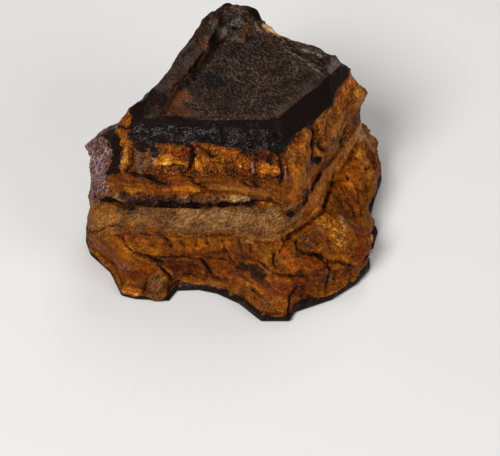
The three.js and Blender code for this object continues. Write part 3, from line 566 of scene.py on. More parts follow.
# Patches that change other painted fields too.
tints = [
    # left corner
    (1.1, {"iron": -1.4, "tone": 0.1, "maroon": -1, "red": -0.5}, (-167, 7), (-161, 7.05),
     (-156, 7.06), (-159, 7.3)),
    (0.5, {"iron": -1.4, "red": 0.2, "tone": 0.1}, (-153, 7), (-155, 6.65), (-157, 6.3)),
    (1.9, {"iron": 0.85, "maroon": -0.8}, (-169, 6.36), (-163, 6.5), (-158, 6.15), (-155, 5.9),
     (-150, 5.7)), (0.95, {"iron": 0.9}, (-149, 6.92), (-145, 6.9), (-141, 6.78), (-138, 6.62)),
    (0.75, {"iron": 0.8}, (-147.5, 6.76), (-142, 6.68)),
    (0.5, {"tan": 0.4, "tone": 0.12, "iron": -0.6}, (-150, 6.42), (-147.6, 6.03)),
    (1.1, {"tone": 0.14, "iron": -0.8, "red": -0.6}, (-150, 6.45), (-146.5, 6.08)),
    (0.9, {"maroon": 0.12, "tan": 0.7, "tone": -0.08, "red": -0.4}, (-143, 6.5), (-138.6, 6.16)),
    (0.5, {"tan": 0.4, "tone": 0.02, "red": -0.4}, (-140, 6.53), (-137, 6.3)),
    (0.4, {"maroon": 0.5, "tone": 0.12}, (-136, 6.45), (-134.4, 6.26)),
    (0.75, {"tone": -0.09, "scribble": 0.9, "tan": 0.3}, (-128, 6.19), (-121, 6.19)),
    (0.95, {"tone": 0.14, "red": 0.45, "scribble": -0.6}, (-104, 6.84), (-93, 6.82)),
    (1.1, {"scribble": 1, "tone": -0.06}, (-106, 6.23), (-94, 6.2)),
    (0.4, {"maroon": 0.6, "tone": 0.14}, (-80, 6.46), (-80, 6.15)),
    (0.85, {"tone": 0.17, "red": 0.15, "scribble": -0.6}, (-77, 6.33), (-66, 6.28)),
    (0.45, {"tone": 0.14, "maroon": 0.2}, (-61.4, 6.25), (-62.4, 5.98)),
    (0.5, {"iron": 0.6}, (-69.5, 6.7), (-68.5, 6.5)),
    # a painted glint: lighter, with a glossier coat
    (0.5, {"silk": 1, "tone": 0.1}, (-51.5, 6.45), (-52.6, 6.22)),
    (1, {"scribble": 0.8, "tone": -0.05}, (-90, 5.8), (-74, 5.76)),
    (0.8, {"tone": 0.07, "red": -0.4, "tan": 0.25}, (-105, 5.33), (-84, 5.27), (-72, 5.2)),
    (1, {"tone": -0.2, "iron": 0.35, "maroon": 0.15}, (-137, 4.4), (-126, 4.5), (-114, 4.45)),
    (0.6, {"maroon": 0.5, "tone": -0.08}, (-142, 4.84), (-139, 4.8)),
    (0.75, {"tan": 0.5, "tone": 0.2, "iron": -0.6}, (-92, 4.84), (-85, 4.6)),
    (0.55, {"iron": -1, "red": 0.6, "tone": 0.1, "tan": -0.8}, (-76, 3.97), (-70, 4)),
    # right-hand face
    (1.2, {"tan": 0.2, "tone": 0.07, "red": -0.5}, (10, 6.2), (9, 5.6)),
    (1, {"tone": -0.18, "maroon": 0.3}, (8, 5.2), (5, 5)),
    (0.6, {"iron": 0.5}, (-15, 6.7), (-18, 6.36)),
    (1.1, {"tone": 0.14, "scribble": 0.7, "red": -0.2}, (-6, 5.72), (-12, 5.58)),
    (1, {"tan": 0.35, "tone": -0.06, "scribble": 0.5}, (-14, 5.33), (-8, 4.95)),
    (1.2, {"tone": -0.04, "scribble": 0.7}, (-43, 5.52), (-50, 5.48)),
    (0.5, {"maroon": 0.7, "tone": -0.15}, (-52, 5.1), (-50.6, 4.9)),
    # ribbon's left end
    (1.8, {"tan": -0.45, "tone": 0.06, "red": -0.1}, (-149, 3.5), (-141, 3.55)),
    (0.8, {"tan": -0.4, "tone": 0.03}, (-134, 3.16), (-118, 3.1)),
    (1.6, {"tone": 0.06, "tan": -0.2}, (-138, 3.6), (-128, 3.5)),
    (0.55, {"tan": -0.3, "red": 0.1, "tone": -0.04}, (-110, 3.06), (-92, 3.08)),
    # lower block, from the left
    (0.5, {"iron": 0.3, "maroon": 0.4}, (-133, 2), (-130, 1.97)),
    (0.9, {"tone": 0.15, "iron": -1}, (-129, 1.02), (-125, 0.98)),
    (1.3, {"maroon": 0.05, "tan": 0.5, "tone": -0.06, "red": -0.5, "iron": -1, "feather": -1},
     (-121, 1.6), (-118.6, 0.85)), (0.42, {"tan": 0.8, "tone": 0.1}, (-105.4, 1.52), (-105, 1.46)),
    (0.5, {"tan": 0.6, "iron": -0.6}, (-114.5, 1.14), (-113.6, 0.86)),
    (0.7, {"tan": 0.5, "tone": 0.08, "red": -0.5}, (-88, 2.87), (-84, 2.9)),
    (1.1, {"cap": 0.4, "tone": -0.2, "iron": 0.15}, (-88, 2.14), (-84, 2.2), (-80, 2.19)),
    (0.65, {"cap": 0.3, "tone": -0.16, "red": 0.5}, (-84, 1.98), (-79, 1.95)),
    (0.5, {"tone": 0.14, "red": 0.5, "maroon": -1, "iron": -0.6}, (-78.6, 2.3), (-77.4, 2.28)),
    (0.8, {"tone": 0.02, "red": -0.4, "tan": 0.15}, (-100, 1.06), (-90, 1.12)),
    (1.7, {"tone": -0.01, "red": -0.5, "scribble": 0.2}, (-89, 1.4), (-84, 1.3), (-78, 1.28)),
    (1.5, {"tone": 0.1, "red": 0.7, "feather": -0.6}, (-70, 2.66), (-68, 2.4)),
    (1.2, {"tone": -0.07, "scribble": 0.6}, (-59, 2.74), (-57.4, 2.5)),
    (0.9, {"tan": 0.55, "tone": -0.12}, (-56, 2), (-57.6, 1.3)),
    (1.4, {"tone": 0.1, "red": -0.2, "scribble": 0.7, "silk": 0.2}, (-49, 2.8), (-46, 2.6),
     (-46, 2.4)),
    # painted glints on the bright lump and along the rim of the facet below it: lighter and paler, with
    # a glossier coat
    (0.9, {"tan": 0.4, "tone": 0.13, "silk": 0.6, "scribble": 0.4}, (-41, 2.62), (-43, 2.48)),
    (0.35, {"tan": 0.6, "tone": 0.2, "silk": 0.6}, (-29, 1.86), (-35, 2)),
    (1.3, {"tone": 0.05, "red": 0.6, "feather": -0.8}, (-24, 2.76), (-26, 2.5)),
    (1.6, {"tone": 0.06, "red": 0.3, "feather": -0.4}, (-18, 2.8), (-20, 2.5), (-24, 2.3)),
    (0.5, {"tan": 0.8, "tone": 0.14}, (11, 2.9), (10, 2.5), (9, 2.1)),
    (0.8, {"tan": 0.9, "tone": 0.16, "maroon": 0.2}, (15, 2.94), (10, 2.82)),
    (0.8, {"tan": 0.7, "tone": 0.02}, (20, 2.36), (12, 2.36)),
    (1.9, {"red": 0.6, "silk": 0.3, "cap": -0.4}, (-160, 8.38), (-152, 8.35), (-146, 8.28),
     (-138, 8.18), (-131, 8.12)), (1.3, {"red": 0.5, "cap": -0.2}, (-150, 8.24), (-147, 8.18)),
    (1.3, {"silk": 0.4, "red": 0.1}, (4, 8.06), (-25, 8.06), (-46, 8.09)),
    # cap
    (1.3, {"iron": 0.5, "tone": -0.12}, (-165, 8.1), (-156, 8.08), (-152, 8.05)),
    (0.7, {"iron": 0.8}, (-158, 8.24), (-152, 8.2)),
    (0.5, {"iron": -0.8, "red": 0.7}, (-166, 8.12), (-168, 8.17)),
    (0.35, {"iron": 1}, (-147, 8.06), (-135, 8.02), (-127, 8.03)),
    (0.45, {"iron": -0.45, "maroon": 0.7, "tone": -0.24}, (-118, 7.86), (-100, 7.86), (-72, 7.86)),
    # apex
    (1.2, {"tone": 0.22, "silk": -0.5}, (109, 8.18), (104, 8.25)),
    (0.8, {"iron": 1, "tone": -0.2}, (81, 8.03), (75, 8.01)),
    (0.3, {"tone": 0.4, "iron": -0.5}, (79, 8.1), (73, 8.08), (65, 8.05)),
    (0.7, {"cap": -1, "iron": -1, "tan": 1, "tone": 0.3}, (68, 8), (63, 8)),
    (0.6, {"cap": -1, "iron": -1, "tone": 0.14}, (60, 7.97), (46, 7.97)),
    (1.3, {"tone": 0.2, "silk": 0.8}, (15, 8.04), (10, 8.07)),
    (1, {"tone": 0.12, "silk": 0.8}, (33, 8.05), (25, 8.06)),
    (0.7, {"iron": -1, "tan": 0.75, "tone": 0.2}, (42, 7.9), (58, 7.88), (68, 7.88)),
]

# How each part of the skin is broken: the size and the depth of what stands out, in millimetres.
finish = {
    "columns": (1.6, 0.6), "columnTall": 4,  # upright fibre columns
    "needles": (0.7, 0.2), "needleTall": 6, "maroonNeedles": 0.8,
    "ledges": (1.9, 0.34),  # level steps on the lower block
    "hackles": (1.1, 0.2), "hackleTurn": 50,  # slanting feather marks, degrees from level
    "crystals": (1.9, 0.5), "crystalChips": (0.4, 0.3),  # the front bevel, and the shares of its chips
    "footChips": (1.3, 0.3), "footChipTall": 0.8,
    "grit": (0.65, 0.12),
    "ribbon": (2.6, 0.2), "hatch": (0.55, 0.05), "hatchTurn": -45,
    "seamChips": (1, 0.4),
    "capLumps": (4.5, 0.1), "capGrain": (0.9, 0.12), "capGrainTurn": 51,
    "capWrinkles": (0.5, 1.6),  # share of the wrinkles' depth everywhere, and more at the right rim
    "rimWrinkles": (4, 14), "clearOfCrease": (2, 6),  # millimetres over which those begin
    "apexLumps": (1.6, 0.5), "apexTall": 0.7, "apexChips": (0.45, 0.4),
    "apex": (-0.5, 19), "apexReach": (4, 8.5),  # its place in plan, and how far it reaches
    "ridgeSoft": 0.4, "ridgeCalm": 0.7,  # half width of the ridge's edge, and how much smoother it is
    "creaseCut": (0.4, 0.5),  # half width and depth of the cut at the foot of the cap's ridge
    "cutBeside": 1.4,  # half widths from the crease to the middle of the cut
    "pits": (2.5, 0.3), "smallPits": 0.15,  # the underside
    "underRim": 0.04,  # tiers from the foot's edge over which the pits begin
    "wander": (9, 0.35), "wanderTiers": (1.5, 7.5, 0.8),  # slow wander of the beds' levels
    "setBack": 0.3,  # how far the lower block gives way to its lumps
    "tintAndShade": 0.8,  # the most of the darker, redder band under the bevel and of the painted shade beside the slits
}

# Waves that make edges wander: the height, size in millimetres and seed of each ripple.
waves = {
    "zones": [(0.22, 2.2, 7), (0.1, 0.8, 8)], "maroon": [(1, 5, 9)],
    "ledges": [(1.3, 5, 3), (0.5, 1.9, 4)], "hackles": [(0.9, 3.2, 5), (0.35, 1.1, 6)],
    "grit": [(0.5, 0.5, 9)], "hatch": [(0.2, 1.5, 31)], "capGrain": [(0.5, 2, 41)],
    "lumps": [(0.5, 1.9, 18), (0.3, 0.8, 19)], "flakes": [(0.3, 1.4, 16), (0.1, 0.6, 17)],
    "slits": [(0.16, 1.1, 11), (0.1, 0.5, 13)], "slitWidths": [(1, 1.5, 14), (0.6, 0.6, 15)],
    "pits": [(1, 1.1, 12)], "shade": [(1, 4.5, 50)], "patches": [(1, 1.6, 51), (0.5, 0.7, 52)],
    "embers": [(1, 3.2, 53)],
}

# Where each zone lies: the tiers of its foot and top and how softly it ends, then the same for
# zones whose edges wander, and in degrees for the sides.
levelZones = {"lower": (1, 2.92, 0.06), "ribbon": (3, 3.9, 0.06), "step": (4.16, 4.95, 0.08),
              "wall": (5, 6.97, 0.06)}
# The bright zone is the band of fibre columns, lighter for their paler gold and for a painted chatoyant
# sheen.
wanderingZones = {"seam": (3.95, 4.1, 0.05), "calm": (5.1, 5.93, 0.08),
                  "scribble": (5.97, 6.2, 0.05), "bright": (6.22, 6.62, 0.1)}
sides = {"front": (-150, -58, 4), "right": (-56, 16, 4)}
zoneEdges = {
    "wander": 0.45, "stray": 0.1,  # how many tiers the waves move an edge, and an upper edge
    "back": (4, 16),  # millimetres behind the axis
    "footSoft": 0.05, "bevelSoft": (-0.15, -0.05), "bevelTop": (8, 8.01), "cap": (7.995, 8.005),
    "scorched": 0.28,  # tiers below the bevel where its darker, redder band begins
    "crystalTop": (7.68, 7.76),  # tiers where the plain black strip under the cap begins
    "side": (0.6, 0.8),  # tiers where the underside ends
    "maroonTurns": (166, 194), "maroonTiers": (3.1, 6.8, 0.25),
    "maroonWaves": (30, 10, 14, 0.3),  # degrees and tiers by which they move its edges
    "maroonSoft": 2,  # degrees
}

# The right-hand edge of the maroon patch in degrees, by tier.
maroonEdge = {2.6: 201, 3: 206, 4: 212, 5: 211.5, 5.4: 209, 5.7: 203, 6.2: 198, 6.5: 192, 7: 188}

# How high the black foot reaches, in tiers, by bearing.
footTop = {-180: 1.1, -156: 0.85, -140: 0.8, -131: 0.78, -118: 0.84, -114: 0.99, -108: 0.95, -99: 1,
           -94: 0.96, -86: 1.03, -80: 0.94, -73: 0.96, -69: 1.08, -65: 0.94, -55: 0.9, -48: 0.9,
           -42: 1.05, -20: 1.1, 0: 1, 20: 1.1, 90: 1.25, 180: 1.1}

# How low the black bevel reaches, in tiers, by bearing.
bevelFoot = {-180: 7, -160: 7, -150: 6.94, -142: 6.98, -132: 7.05, -122: 7.14, -109: 7.24, -97: 7.15,
             -91: 7.2, -87: 7.05, -80: 7.1, -70: 7.18, -64: 6.95, -57: 6.8, -52: 6.94, -45: 7.12,
             -37: 7.08, -31: 6.9, -26: 6.95, -23: 7.15, -17: 7.16, -11: 6.9, -5: 6.8, -3: 7.2,
             4: 7.2, 20: 7.1, 100: 6.9, 180: 7}


# The named waves added up: height * ripple.
def waved(place, name):
    return sum(height * ripple(place, size, seed) for height, size, seed in waves[name])


# A value read off a dictionary of places and values, with straight lines between them.
def readOff(table, where):
    return np.interp(where, list(table), list(table.values()))


# Steps along a line: with p = line / width, each stands out by p's share past a whole, to the power
# 1.5, and ends in a short steep fall. It is less 0.35, which is about its mean.
def steps(line, width, fall):
    share = line / width - np.floor(line / width)
    return share ** 1.5 * smooth(1 - share, 0, fall) - 0.35


# Level steps, whose line is the height.
def ledges(place, width):
    return steps(place[..., 2] + waved(place, "ledges"), width, 0.12)


# Feather marks, whose line climbs as it goes a whole number of widths round the lump.
def hackles(place, bearings, width):
    climb = math.radians(finish["hackleTurn"])
    count = round(math.pi * stoneForm["across"] * math.cos(climb) / width)
    line = count * width * bearings / (2 * math.pi) + place[..., 2] * math.sin(climb)
    return steps(line + waved(place, "hackles"), width, 0.15)


# Fine slanting lines, whose line is x sin + another coordinate times cos.
def slanted(place, other, turn, width, name):
    turn = math.radians(turn)
    line = place[..., 0] * math.sin(turn) + place[..., other] * math.cos(turn)
    return line, steps(line + waved(place, name), width, 0.3)


# Where each finish lies, as shares from 0 to 1, from the tier, the bearing and a little wander.
def zones(place, bearings, tiers):
    edges = zoneEdges
    degrees = np.degrees(bearings)
    stray = waved(place, "zones")
    tier = tiers + edges["wander"] * stray
    zone = {name: between(tiers, *span) for name, span in levelZones.items()}
    zone |= {name: between(tier, *span) for name, span in wanderingZones.items()}
    zone |= {name: between(degrees, *span) for name, span in sides.items()}
    zone["back"] = smooth(place[..., 1], *edges["back"])
    zone["elsewhere"] = (1 - zone["front"]) * (1 - zone["right"])
    zone["bright"] *= zone["front"]
    foot, bevel = readOff(footTop, degrees), readOff(bevelFoot, degrees)
    soft, (lowSoft, highSoft) = edges["footSoft"], edges["bevelSoft"]
    zone["foot"] = 1 - smooth(tier, foot - soft, foot + soft)
    zone["bevel"] = smooth(tier, bevel + lowSoft, bevel + highSoft) \
        * (1 - smooth(tiers, *edges["bevelTop"]))
    zone["cap"] = smooth(tiers, *edges["cap"])
    slight = edges["stray"] * stray
    # A darker, redder band just under the bevel, the stone's own colour; the painted shade beside the
    # slits is added to it later.
    zone["scorched"] = smooth(tier + slight, bevel - edges["scorched"], bevel)
    zone["crystal"] = zone["bevel"] * zone["front"] * (1 - smooth(tiers + slight, *edges["crystalTop"]))
    turn, drift = degrees % 360, waved(place, "maroon")
    leftWave, leftDrift, rightWave, upDrift = edges["maroonWaves"]
    rightEdge = readOff(maroonEdge, tiers)
    zone["maroon"] = smooth(turn + leftWave * stray + leftDrift * drift, *edges["maroonTurns"]) \
        * (1 - smooth(turn + rightWave * stray, rightEdge, rightEdge + edges["maroonSoft"])) \
        * between(tier + upDrift * drift, *edges["maroonTiers"])
    zone["height"] = tiers
    zone["side"] = smooth(tiers, *edges["side"]) * (1 - zone["cap"])
    return zone


# The distance from each place to a path on the unbroken skin, and how far along it the nearest
# point lies.
def alongSkin(place, path):
    return distanceTo(place, onSkin(path))


# The product of the shares named in one string, such as "lower back".
def product(share, names):
    return math.prod(share[name] for name in names.split())


# Such products, each times its amount, added up.
def added(share, parts):
    return sum(amount * product(share, names) for names, amount in parts.items())


# Where each kind of break lies, and what lessens it there, by the zones' shares.
breakShares = {
    "columns": {"wall": 1, "wall calm": -0.7, "lower": 0.2, "step": 0.7},
    "ledges": {"lower": 0.1, "lower back": 0.65, "calm": 0.5, "wall back": 0.5},
    "hackles": {"lower": 1}, "crystals": {"crystal": 1, "bevel elsewhere": 0.4},
    "footChips": {"foot side": 1}, "grit": {"side": 1}, "ribbon": {"ribbon": 1},
    "hatch": {"ribbon front": 1}, "seamChips": {"seam": 1, "step": 1},
}
breakLess = {
    "columns": {"maroon": 0.8, "right": 0.45}, "grit": {"ribbon": 0.8, "bevel right": 0.8},
    "seamChips": {"back": 1},
}


# The fine break: for each kind, its depth times its shape at its size, times the share of the skin
# it lies on. It moves the skin along its normals, in millimetres.
def fineBreak(place, bearings, zone):
    share = {name: added(zone, parts) for name, parts in breakShares.items()}
    for name, parts in breakLess.items():
        for names, amount in parts.items():
            share[name] = share[name] * (1 - amount * product(zone, names))
    share["needles"] = np.maximum(share["columns"], finish["maroonNeedles"] * zone["maroon"])
    chipSize, chipShare = finish["crystalChips"]
    shapes = {
        "columns": lambda size: scars(place, size, finish["columnTall"]),
        "needles": lambda size: scars(place, size, finish["needleTall"]),
        "ledges": lambda size: ledges(place, size),
        "hackles": lambda size: hackles(place, bearings, size),
        "crystals": lambda size: scars(place, size, 1) + chipShare * scars(place, size * chipSize, 1),
        "footChips": lambda size: scars(place, size, finish["footChipTall"]),
        "grit": lambda size: scars(place, size, 1) + waved(place, "grit"),
        "ribbon": lambda size: roughness(place, size, 3, 30),
        "hatch": lambda size: slanted(place, 2, finish["hatchTurn"], size, "hatch")[1],
        "seamChips": lambda size: scars(place, size, 1),
    }
    push = sum(finish[name][1] * shape(finish[name][0]) * share[name]
               for name, shape in shapes.items())
    return push + capBreak(place) * zone["cap"]


# How far each place is on the cap's ridge.
def ridgeShare(place):
    return smooth(besideCrease(place), -finish["ridgeSoft"], finish["ridgeSoft"])


# The cap's break: slow lumps, slanting wrinkles, nodules round the apex and the cut beside the ridge.
def capBreak(place):
    size, depth = finish["capLumps"]
    push = depth * roughness(place, size, 3, 40)
    size, depth = finish["capGrain"]
    line, wrinkles = slanted(place, 1, finish["capGrainTurn"], size, "capGrain")
    rim = smooth(line, *finish["rimWrinkles"]) * smooth(-besideCrease(place), *finish["clearOfCrease"])
    everywhere, atRim = finish["capWrinkles"]
    push += depth * (everywhere + atRim * rim) * wrinkles
    apexX, apexY = finish["apex"]
    apex = 1 - smooth(np.hypot(place[..., 0] - apexX, place[..., 1] - apexY), *finish["apexReach"])
    size, depth = finish["apexLumps"]
    chipSize, chipShare = finish["apexChips"]
    push += apex * depth * (scars(place, size, finish["apexTall"])
                            + chipShare * scars(place, chipSize * size, 1))
    push *= 1 - finish["ridgeCalm"] * ridgeShare(place) * (1 - apex)
    size, depth = finish["creaseCut"]
    return push - depth * np.exp(-((besideCrease(place) + finish["cutBeside"] * size) / size) ** 2)


lumpForm = {
    "above": 0.4,  # how much farther a lump reaches above its path
    "steep": 1.6,  # how soon it is level
    "height": 0.48,  # share of its height that it comes to
}


# What the lumps add: each rises as 2r - r^2 over its outer part to a level top, more gently above
# than below, and the highest of them counts, so that lumps meet in sharp folds.
def swelling(place, base):
    wander = waved(place, "lumps")
    highest = np.zeros(base.shape[:-1])
    for reach, height, *path in lumps:
        above = smooth(base[..., 2] - onSkin(path)[:, 2].mean(), 0, reach)
        gap = alongSkin(base, path)[0] * (1 - lumpForm["above"] * above) + wander
        rise = np.clip(lumpForm["steep"] * (1 - gap / reach), 0, 1)
        highest = np.maximum(highest, lumpForm["height"] * height * rise * (2 - rise))
    return highest


flatScale = np.array([0.3, 5])  # millimetres in a degree and in a tier, on the flat map
flakeEdge = 0.12  # half the width of the step at a flake's edge, in millimetres


# What the flakes add: height * exp(-(gap / reach)^2) on the left of the path, thinning to its ends.
def flaking(place, base, bearings, tiers):
    wander = waved(place, "flakes")
    flat = np.stack([np.degrees(bearings), tiers], axis=-1) * flatScale
    push = 0
    for reach, height, *path in flakes:
        gap, side, way = beside(base, onSkin(path), flat, np.array(path) * flatScale)
        gap = gap + wander
        taper = np.sqrt(4 * way * (1 - way))
        step = smooth(side * gap, -flakeEdge, flakeEdge)
        push += height * taper * np.exp(-(gap / reach) ** 2) * step
    return push


slitForm = {
    "width": 0.8, "least": 0.05,  # share of the half width given, and the least in millimetres
    "ends": 0.35, "middle": 0.75, "blunt": 0.4,  # share at the ends, more in the middle, and its power
    "ragged": 0.6,  # how far the waves vary it
    "core": 0.6, "soft": 0.35,  # how black its edge is, and how softly that ends, in millimetres
    "tintAndShade": 0.3, "shadeWidthShare": 1.6,  # reach of the painted shade beside a slit, and what the width adds to it
}


# What the slits do: how deep they cut, how black they are painted, which is both their dark filling and
# painted shade in the cut, and how far the skin beside them is darkened as painted shade. Each cuts by
# depth * exp(-(gap / half width)^2) and narrows to its ends.
def slitting(place, base):
    form = slitForm
    wander, ragged = waved(place, "slits"), waved(place, "slitWidths")
    cut, crackFillAndShade, scorched = (np.zeros(wander.shape) for _ in range(3))
    for width, depth, dark, *path in slits:
        gap, way = alongSkin(base, path)
        taper = form["ends"] + form["middle"] * (4 * way * (1 - way)) ** form["blunt"]
        half = form["width"] * width * taper * (1 + form["ragged"] * ragged)
        beyond = np.maximum(gap + wander, 0)
        cut += depth * np.exp(-(beyond / np.maximum(half, form["least"])) ** 2)
        core = form["core"] + (half - beyond) / (form["soft"] + half)
        crackFillAndShade = np.maximum(crackFillAndShade, dark * np.clip(core, 0, 1))
        tintAndShade = form["tintAndShade"] + form["shadeWidthShare"] * width
        scorched = np.maximum(scorched, dark * np.exp(-(gap / tintAndShade) ** 2))
    return cut, crackFillAndShade, scorched


# The whole lump: the unbroken skin, the coarse break along its normals, then the fine break along
# the normals of that. Returns the places and what the paint reads.
def lumpSkin():
    bearings, tiers = gridParameters()
    base = skinAt(bearings, tiers)
    place = base + bandNormals(base) * coarseBreak(base, tiers)[..., None]
    size, depth = finish["wander"]
    place[..., 2] += depth * roughness(base, size, 2, 20) * between(tiers, *finish["wanderTiers"])
    zone = zones(base, bearings, tiers)
    cut, crackFillAndShade, scorched = slitting(place, base)
    push = fineBreak(place, bearings, zone) + swelling(place, base)
    push += flaking(place, base, bearings, tiers)
    push -= finish["setBack"] * zone["lower"] + cut
    # Whichever is more of the band under the bevel and the painted shade beside the slits, times the
    # most it may be.
    zone["scorched"] = finish["tintAndShade"] * np.maximum(zone["scorched"], scorched)
    place = place + bandNormals(place) * push[..., None]
    size, depth = finish["pits"]
    pits = depth * (scars(place, size, 1) + 0.5) + finish["smallPits"] * (waved(place, "pits") + 1)
    pits = pits * smooth(0.5 - tiers, 0, finish["underRim"])
    place[..., 2] = np.where(tiers <= 0.5, pits, np.maximum(place[..., 2], 0))
    print(f"skin: {tiers.shape[0]} rows of {tiers.shape[1]}")
    return place, base, zone, push, crackFillAndShade


# What each painted field adds up: an amount times the product of the named shares. Tone is 0.5 for
# plain gold, and the others are how far the colour lies towards red, tan, maroon, cap rock and
# iron, how silky and how glassy the skin is, and how much it is feathered or scribbled on.
fieldShares = {
    # In the tone, low and deep darken the hollows as painted shade, and high lightens raised edges as a
    # painted highlight.
    "tone": {"one": 0.5, "shade": 0.05, "low": -0.14, "deep": -0.06, "high": 0.14, "bright": 0.04,
             "scribble": -0.04, "lower": -0.01, "step": -0.04, "ribbon front": -0.03,
             # The share under the bevel and beside the slits darkens the tone and, below, reddens: the
             # stone's own band under the bevel, and painted shade beside the slits.
             "ribbon right": 0.15, "wall right": 0.05, "wall front": -0.03, "scorched": -0.2,
             "scorched lower": 0.1, "scorched cap": 0.12, "cap ridge": -0.05},
    "red": {"one": 0.25, "embers": 0.35, "embers cap": -0.21, "ribbon right": 0.4, "scorched": 0.4,
            "scorched cap": -0.4, "cap ridge": 0.15},
    "tan": {"ribbon rise": 0.2, "ribbon rise front": 0.65, "step front": 0.7},
    "maroon": {"maroon": 1, "leftFoot": 0.35},
    "iron": {"dark": 1}, "cap": {"cap": 1},
    "silk": {"wall": 0.1, "lower": 0.03, "cap ridge": 0.5},
    "crystal": {"crystal": 1, "foot side": 0.1},
    "feather": {"lower": 1, "calm": 0.5},
    "scribble": {"scribble": 0.3, "step": 0.6, "lower": 0.15},
}


paintForm = {
    "fine": (3, 0.3), "broad": (9, 0.8),  # windows in grid rows, and the depths that count as full
    "rise": (3, 3.3), "riseFoot": 0.45, "riseWander": 0.1,  # the ribbon's paler part, from its foot up
    "leftFoot": (17, 22),  # millimetres left of the middle
    "seamDark": 0.3,
    "patchSoft": (0.65, 1), "patchWander": 0.5,  # shares of a patch's reach
}


# The fields that the finish reads, each one number a point, with the patches added to them. Low and
# deep tell how far a point lies under the average of its window, and high how far above it: the tone
# darkens by low and deep as painted shade in hollows, and lightens by high as a painted highlight on
# raised edges.
def paint(place, base, zone, push, crackFillAndShade):
    form = paintForm
    window, full = form["fine"]
    low = np.clip((blurred(push, window) - push) / full, -1, 1)
    window, full = form["broad"]
    deep = np.clip((blurred(push, window) - push) / full, 0, 1)
    flaws = waved(place, "patches")
    rise = smooth(zone["height"] + form["riseWander"] * flaws, *form["rise"])
    seam = form["seamDark"] * zone["seam"] * (1 - zone["back"])
    share = zone | {
        "one": 1, "low": np.maximum(low, 0), "high": np.maximum(-low, 0), "deep": deep,
        "shade": waved(place, "shade"), "embers": waved(place, "embers"), "ridge": ridgeShare(place),
        "rise": form["riseFoot"] + (1 - form["riseFoot"]) * rise,
        "leftFoot": smooth(zone["foot"], 0, 1) * smooth(-base[..., 0], *form["leftFoot"]),
        "dark": np.maximum.reduce([zone["foot"], zone["bevel"], seam]),
    }
    field = {name: added(share, parts) for name, parts in fieldShares.items()}
    patches = [(reach, {"tone": tone, "red": red}, *path) for reach, tone, red, *path in shades] + tints
    for reach, changes, *path in patches:
        away = alongSkin(base, path)[0] / reach + form["patchWander"] * flaws
        inside = 1 - smooth(away, *form["patchSoft"])
        for name, amount in changes.items():
            field[name] = field[name] + amount * inside
    # The slits' black, their dark filling and painted shade in the cuts, raises the iron share.
    field["iron"] = np.maximum(np.clip(field["iron"], 0, 1), crackFillAndShade)
    print(f"paint: {len(slits)} slits, {len(patches)} patches")
    return {name: np.clip(value, 0, 1) for name, value in field.items()}


# An object in the scene for a mesh, a light or a camera.
def addToScene(name, data):
    thing = bpy.data.objects.new(name, data)
    bpy.context.scene.collection.objects.link(thing)
    return thing


# The closed mesh: quads between the grid's rows, and a fan of triangles to a point at each end.
def meshOf(name, place, field):
    rows, columns = place.shape[:2]
    index = np.arange(rows * columns).reshape(rows, columns)
    right = np.roll(index, -1, axis=1)
    quads = np.stack([index[:-1], right[:-1], right[1:], index[1:]], axis=-1).reshape(-1, 4)
    under, top = rows * columns, rows * columns + 1
    fans = np.concatenate([
        np.stack([right[0], index[0], np.full(columns, under)], axis=-1),
        np.stack([index[-1], right[-1], np.full(columns, top)], axis=-1)])
    points = np.concatenate([place.reshape(-1, 3), place[[0, -1]].mean(axis=1)])
    points[under, 2] = place[0, :, 2].mean()
    points[:, :2] -= np.array(stoneForm["middle"])
    mesh = bpy.data.meshes.new(name)
    mesh.from_pydata(points * mm, [], quads.tolist() + fans.tolist())
    for key, value in field.items():
        ends = np.array([value[0].mean(), value[-1].mean()])
        layer = mesh.attributes.new(key, "FLOAT", "POINT")
        layer.data.foreach_set("value", np.concatenate([value.ravel(), ends]).astype(np.float32))
    mesh.polygons.foreach_set("use_smooth", np.ones(len(mesh.polygons), bool))
    mesh.update()
    return addToScene(name, mesh)


# The material.
# A display colour of 0 to 255 as the light values that a shader takes.
def light(red, green, blue):
    share = np.array([red, green, blue]) / 255
    return (*np.where(share <= 0.04045, share / 12.92, ((share + 0.055) / 1.055) ** 2.4), 1)


# A node with its plain values and sockets set by name or number, and its inputs linked.
def addNode(tree, kind, inputs=None, **settings):
    node = tree.nodes.new("ShaderNode" + kind)
    for name, value in settings.items():
        setattr(node, name, value)
    for name, value in (inputs or {}).items():
        if isinstance(value, bpy.types.NodeSocket):
            tree.links.new(value, node.inputs[name])
        else:
            node.inputs[name].default_value = value
    return node


# One sum of two values, or another operation on them.
def calc(tree, operation, first, second, clamp=False):
    return addNode(tree, "Math", {0: first, 1: second}, operation=operation, use_clamp=clamp).outputs[0]


def calcVector(tree, operation, inputs):
    return addNode(tree, "VectorMath", inputs, operation=operation).outputs[0]


# A value brought from the span low to high onto another span.
def spread(tree, value, low, high, start=0.0, end=1.0):
    return addNode(tree, "MapRange", {"Value": value, "From Min": low, "From Max": high,
                                      "To Min": start, "To Max": end}).outputs[0]


def mixColour(tree, share, first, second):
    return addNode(tree, "Mix", {0: share, 6: first, 7: second}, data_type="RGBA").outputs[2]


def ramp(tree, value, stops):
    node = addNode(tree, "ValToRGB", {0: value})
    marks = node.color_ramp.elements
    while len(marks) < len(stops):
        marks.new(0.5)
    for mark, (place, colour) in zip(marks, stops):
        mark.position = place
        mark.color = light(*colour)
    return node.outputs[0]


grainForm = {
    "bendSize": 220.0,  # bends in a metre
    "perMetre": 1000.0,  # cells in a metre at a fineness of 1
    "lineWidth": 0.12,
}


